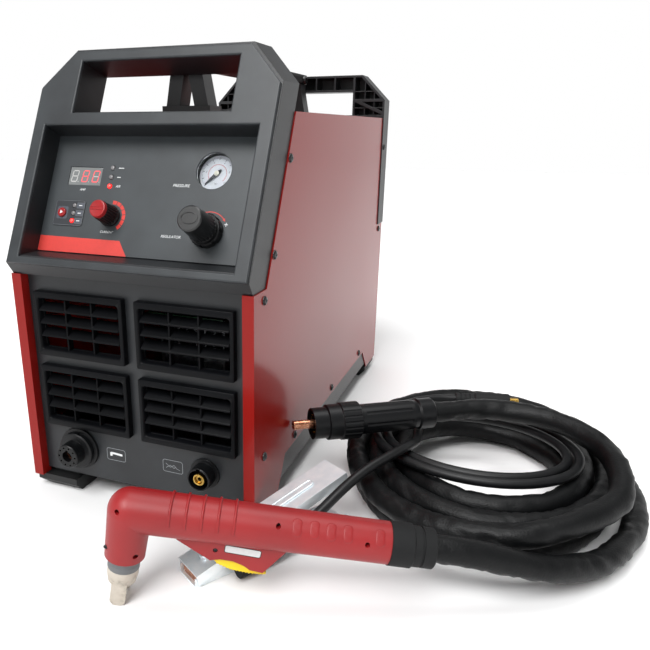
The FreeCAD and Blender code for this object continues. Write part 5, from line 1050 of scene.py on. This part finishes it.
def torch_screws():
    """Screws that hold the halves together, sunk in their near side; the last one is in the guard."""
    screws = Form()
    for x, z, y in ((-7.5, 6, -9.2), (-16, -32, -9.2), (9.5, -35, -9.2), (121, 11, -9.2), (193, 6, -9.2),
                    (73.4, -23, -6.9)):
        cross_screw(screws, lambda a, b, h: on(TORCH)(x + a, y - h, z + b), 1.9, 0.8)
    screws.make("torch_screws", "black_oxide_steel")


def torch_label():
    """Blank label on the guard: white film with a black border."""
    film, place = Form(), on(TORCH @ pose(95.9, -8.0, -20.7, (3, "Y")))
    film.patch([place(a, -0.12, b) for a, b in rounded(30.5, 7.4, 2.0)])
    outline(film, lambda a, b: place(a, -0.2, b), 30.5, 7.4, 2.0, 0.6, 1)
    film.make("torch_label", "white_vinyl_label black_label_ink")


def trigger_ridges():
    """Small ridges across the trigger's lower edge."""
    ridges = Form()
    lower = [(76, -37.5), (87.4, -41.5), (103.4, -43), (117.4, -42.3)]
    for a, b in zip(lower, lower[1:]):
        steps = max(2, round((b[0] - a[0]) / 2.9))
        for i in range(steps):
            p, q = (a[k] + (b[k] - a[k]) * i / steps for k in (0, 1))
            ridges.tube([on(TORCH)(p, -4.7, q + 0.1), on(TORCH)(p, 4.7, q + 0.1)], 0.75)
    ridges.make("trigger_ridges", "yellow_moulded_nylon", "torch_trigger")


class CUTTER_OT_torch(Operator):
    """Hand torch: two red halves, trigger, head with its cup and nozzle, and the rubber cuff"""
    bl_idname = "cutter.torch"
    bl_label = "Torch"

    def execute(self, context):
        paint("torch_handle_left torch_handle_right", "red_glass_filled_nylon")
        paint("torch_trigger", "yellow_moulded_nylon")
        paint("torch_ring", "grey_moulded_peek")
        paint("shield_cup", "fired_ceramic")
        paint("torch_nozzle", "tarnished_copper_nozzle")
        paint("torch_cuff", "cuff_rubber")
        torch_ring_skirt()
        grip_pads()
        rounded_grip_ribs()
        torch_screws()
        torch_label()
        trigger_ridges()
        return {"FINISHED"}


class CUTTER_OT_connector(Operator):
    """Central connector at the far end of the torch lead"""
    bl_idname = "cutter.connector"
    bl_label = "Lead connector"

    def execute(self, context):
        paint("torch_connector_body torch_connector_nut", "black_moulded_pa6")
        paint("torch_connector_contacts", "drawn_copper",
              ("gold_plated_brass", lambda p: hypot(*(CONNECTOR.inverted() @ p).yz) > 6))
        return {"FINISHED"}


# Work clamp and its plug

def wound_spring():
    """Spring round the clamp's pivot, with one straight leg down to the lower arm."""
    spring, line, put = Form(), [], on(CLAMP)
    for step in range(121):
        x, z = polar(5.2, 2 * pi * step / 20 - 0.6)
        line.append(put(70 + x, -8 + 16 * step / 120, 23 + z))
    leg = [put(94, -8.0, 3.0), put(84, -8.0, 10.5), put(76.5, -8.0, 17.5)]
    spring.tube(leg + line, 1.1)
    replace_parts(spring.make("wound_spring", "spring_steel"), "clamp_spring")


def rib_bead():
    """Rounded bead along the outline of the upper arm's pressed rib."""
    bead = Form()
    bend = [(72.6 + 3.4 * sin(a), -3.4 * cos(a)) for a in (pi * k / 12 for k in range(13))]
    bead.tube([on(UPPER_ARM)(u, v, 9.3) for u, v in [(9.5, -3.4), *bend, (9.5, 3.4)]], 1.0)
    bead.make("rib_bead", "zinc_plated_steel", "clamp_upper_arm")


FAR = 1000.0
LOWER_JAW = inside(CLAMP, (2.9, -12.1, 1.6), (34.1, 12.1, FAR))
UPPER_JAW = inside(UPPER_ARM, (-67.2, -12.1, -FAR), (-35.8, 12.1, 6.9))
LEAD_SLEEVE = inside(CLAMP, (37.9, -FAR, -FAR), (60.1, -16.4, FAR))


class CUTTER_OT_clamp(Operator):
    """Work clamp: zinc-plated arms, copper jaws and the wound spring on the pivot"""
    bl_idname = "cutter.clamp"
    bl_label = "Work clamp"

    def execute(self, context):
        paint("clamp_lower_arm", "zinc_plated_steel", ("drawn_copper", LOWER_JAW),
              ("crimped_rubber_sleeve", LEAD_SLEEVE))
        paint("clamp_upper_arm", "zinc_plated_steel", ("drawn_copper", UPPER_JAW))
        rib_bead()
        wound_spring()
        return {"FINISHED"}


class CUTTER_OT_plug(Operator):
    """Bayonet plug of the work lead"""
    bl_idname = "cutter.plug"
    bl_label = "Work plug"

    def execute(self, context):
        paint("work_plug", "plug_rubber", ("turned_brass", lambda p: (PLUG.inverted() @ p).x > 65.1))
        return {"FINISHED"}


# Stage and camera

# Name, kind, place, what it aims at, size in metres or, for the sun, radians, and power
LAMPS = [
    ("key_light", "SUN", (-0.35, -2.2, 3.0), (0, 0, 0), 0.6, 3.2),
    ("top_light", "AREA", (0.3, 0.3, 3.0), (0.1, 0, 0.2), 1.6, 34),
]


def studio_world():
    """Soft white surroundings, brightest near the horizon; the camera sees plain white."""
    world = bpy.data.worlds.new("studio")
    world.use_nodes = True
    tree = world.node_tree
    way = add(tree, "ShaderNodeSeparateXYZ", {0: add(tree, "ShaderNodeTexCoord").outputs["Generated"]})
    fall = add(tree, "ShaderNodeMapRange", {"Value": way.outputs["Z"], "From Min": 0.16, "From Max": 0.5,
                                            "To Min": 1.0, "To Max": 0.3}, interpolation_type="SMOOTHSTEP")
    seen = add(tree, "ShaderNodeLightPath").outputs["Is Camera Ray"]
    strength = add(tree, "ShaderNodeMath", {0: fall.outputs["Result"], 1: seen}, operation="MAXIMUM")
    tree.links.new(strength.outputs[0], tree.nodes["Background"].inputs["Strength"])
    tree.nodes["Background"].inputs["Color"].default_value = linear("FFFFFF")
    return world


class CUTTER_OT_stage(Operator):
    """Pale floor and soft studio light"""
    bl_idname = "cutter.stage"
    bl_label = "Stage"

    def execute(self, context):
        reach = 6.0
        mesh = bpy.data.meshes.new("floor")
        corners = [(reach * x, reach * y, 0) for x, y in ((-1, -1), (1, -1), (1, 1), (-1, 1))]
        mesh.from_pydata(corners, [], [(0, 1, 2, 3)])
        mesh.materials.append(material("matt_paper"))
        placed("floor", mesh)
        for name, kind, spot, aim, size, power in LAMPS:
            light = bpy.data.lights.new(name, kind)
            light.energy = power
            if kind == "SUN":
                light.angle = size
            else:
                light.shape, light.size = "DISK", size
            lamp = placed(name, light)
            lamp.location = spot
            lamp.rotation_euler = (Vector(aim) - Vector(spot)).to_track_quat("-Z", "Y").to_euler()
        context.scene.world = studio_world()
        context.scene.view_settings.view_transform = "Standard"
        return {"FINISHED"}


# View solved from straight edges in the photograph: lens in millimetres, place in metres, turns in degrees
PHOTO_LENS, PHOTO_SHIFT, PHOTO_SPOT = 35.95, (0.1001, 0.0247), (0.3407, -0.7734, 0.3810)
PHOTO_TURN, PHOTO_DOWN = 21.84, 18.02


class CUTTER_OT_camera(Operator):
    """Camera at the photograph's viewing angle"""
    bl_idname = "cutter.camera"
    bl_label = "Camera"

    def execute(self, context):
        lens = bpy.data.cameras.new("photo_camera")
        lens.sensor_fit, lens.sensor_width, lens.lens = "HORIZONTAL", 36, PHOTO_LENS
        lens.shift_x, lens.shift_y = PHOTO_SHIFT
        lens.clip_start, lens.clip_end = 0.02, 50
        camera = placed("photo_camera", lens)
        camera.location = PHOTO_SPOT
        camera.rotation_euler = pose(0, 0, 0, (PHOTO_TURN, "Z"), (90 - PHOTO_DOWN, "X")).to_euler()
        context.scene.camera = camera
        return {"FINISHED"}


# Add-on

OPERATORS = [
    CUTTER_OT_camera, CUTTER_OT_leads, CUTTER_OT_case, CUTTER_OT_front, CUTTER_OT_shroud, CUTTER_OT_console,
    CUTTER_OT_gauge, CUTTER_OT_regulator, CUTTER_OT_sockets, CUTTER_OT_rear, CUTTER_OT_inside,
    CUTTER_OT_carry_handle, CUTTER_OT_torch, CUTTER_OT_connector, CUTTER_OT_clamp, CUTTER_OT_plug,
    CUTTER_OT_stage,
]


class CUTTER_PT_panel(Panel):
    """Settings of the looks and a button for each piece"""
    bl_idname = "CUTTER_PT_panel"
    bl_label = "Plasma cutting unit"
    bl_space_type = "VIEW_3D"
    bl_region_type = "UI"
    bl_category = "Cutter"

    def draw(self, context):
        settings = context.scene.cutter_looks
        for name in settings.bl_rna.properties.keys():
            if name not in ("rna_type", "name"):
                self.layout.prop(settings, name)
        for operator in OPERATORS:
            self.layout.operator(operator.bl_idname)


def register():
    for kind in (CutterLooks, *OPERATORS, CUTTER_PT_panel):
        bpy.utils.register_class(kind)
    bpy.types.Scene.cutter_looks = PointerProperty(type=CutterLooks)


def unregister():
    del bpy.types.Scene.cutter_looks
    for kind in reversed((CutterLooks, *OPERATORS, CUTTER_PT_panel)):
        bpy.utils.unregister_class(kind)


def main():
    """Dress the object piece by piece."""
    register()
    for operator in OPERATORS:
        group, name = operator.bl_idname.split(".")
        getattr(getattr(bpy.ops, group), name)()


if __name__ == "__main__":
    main()
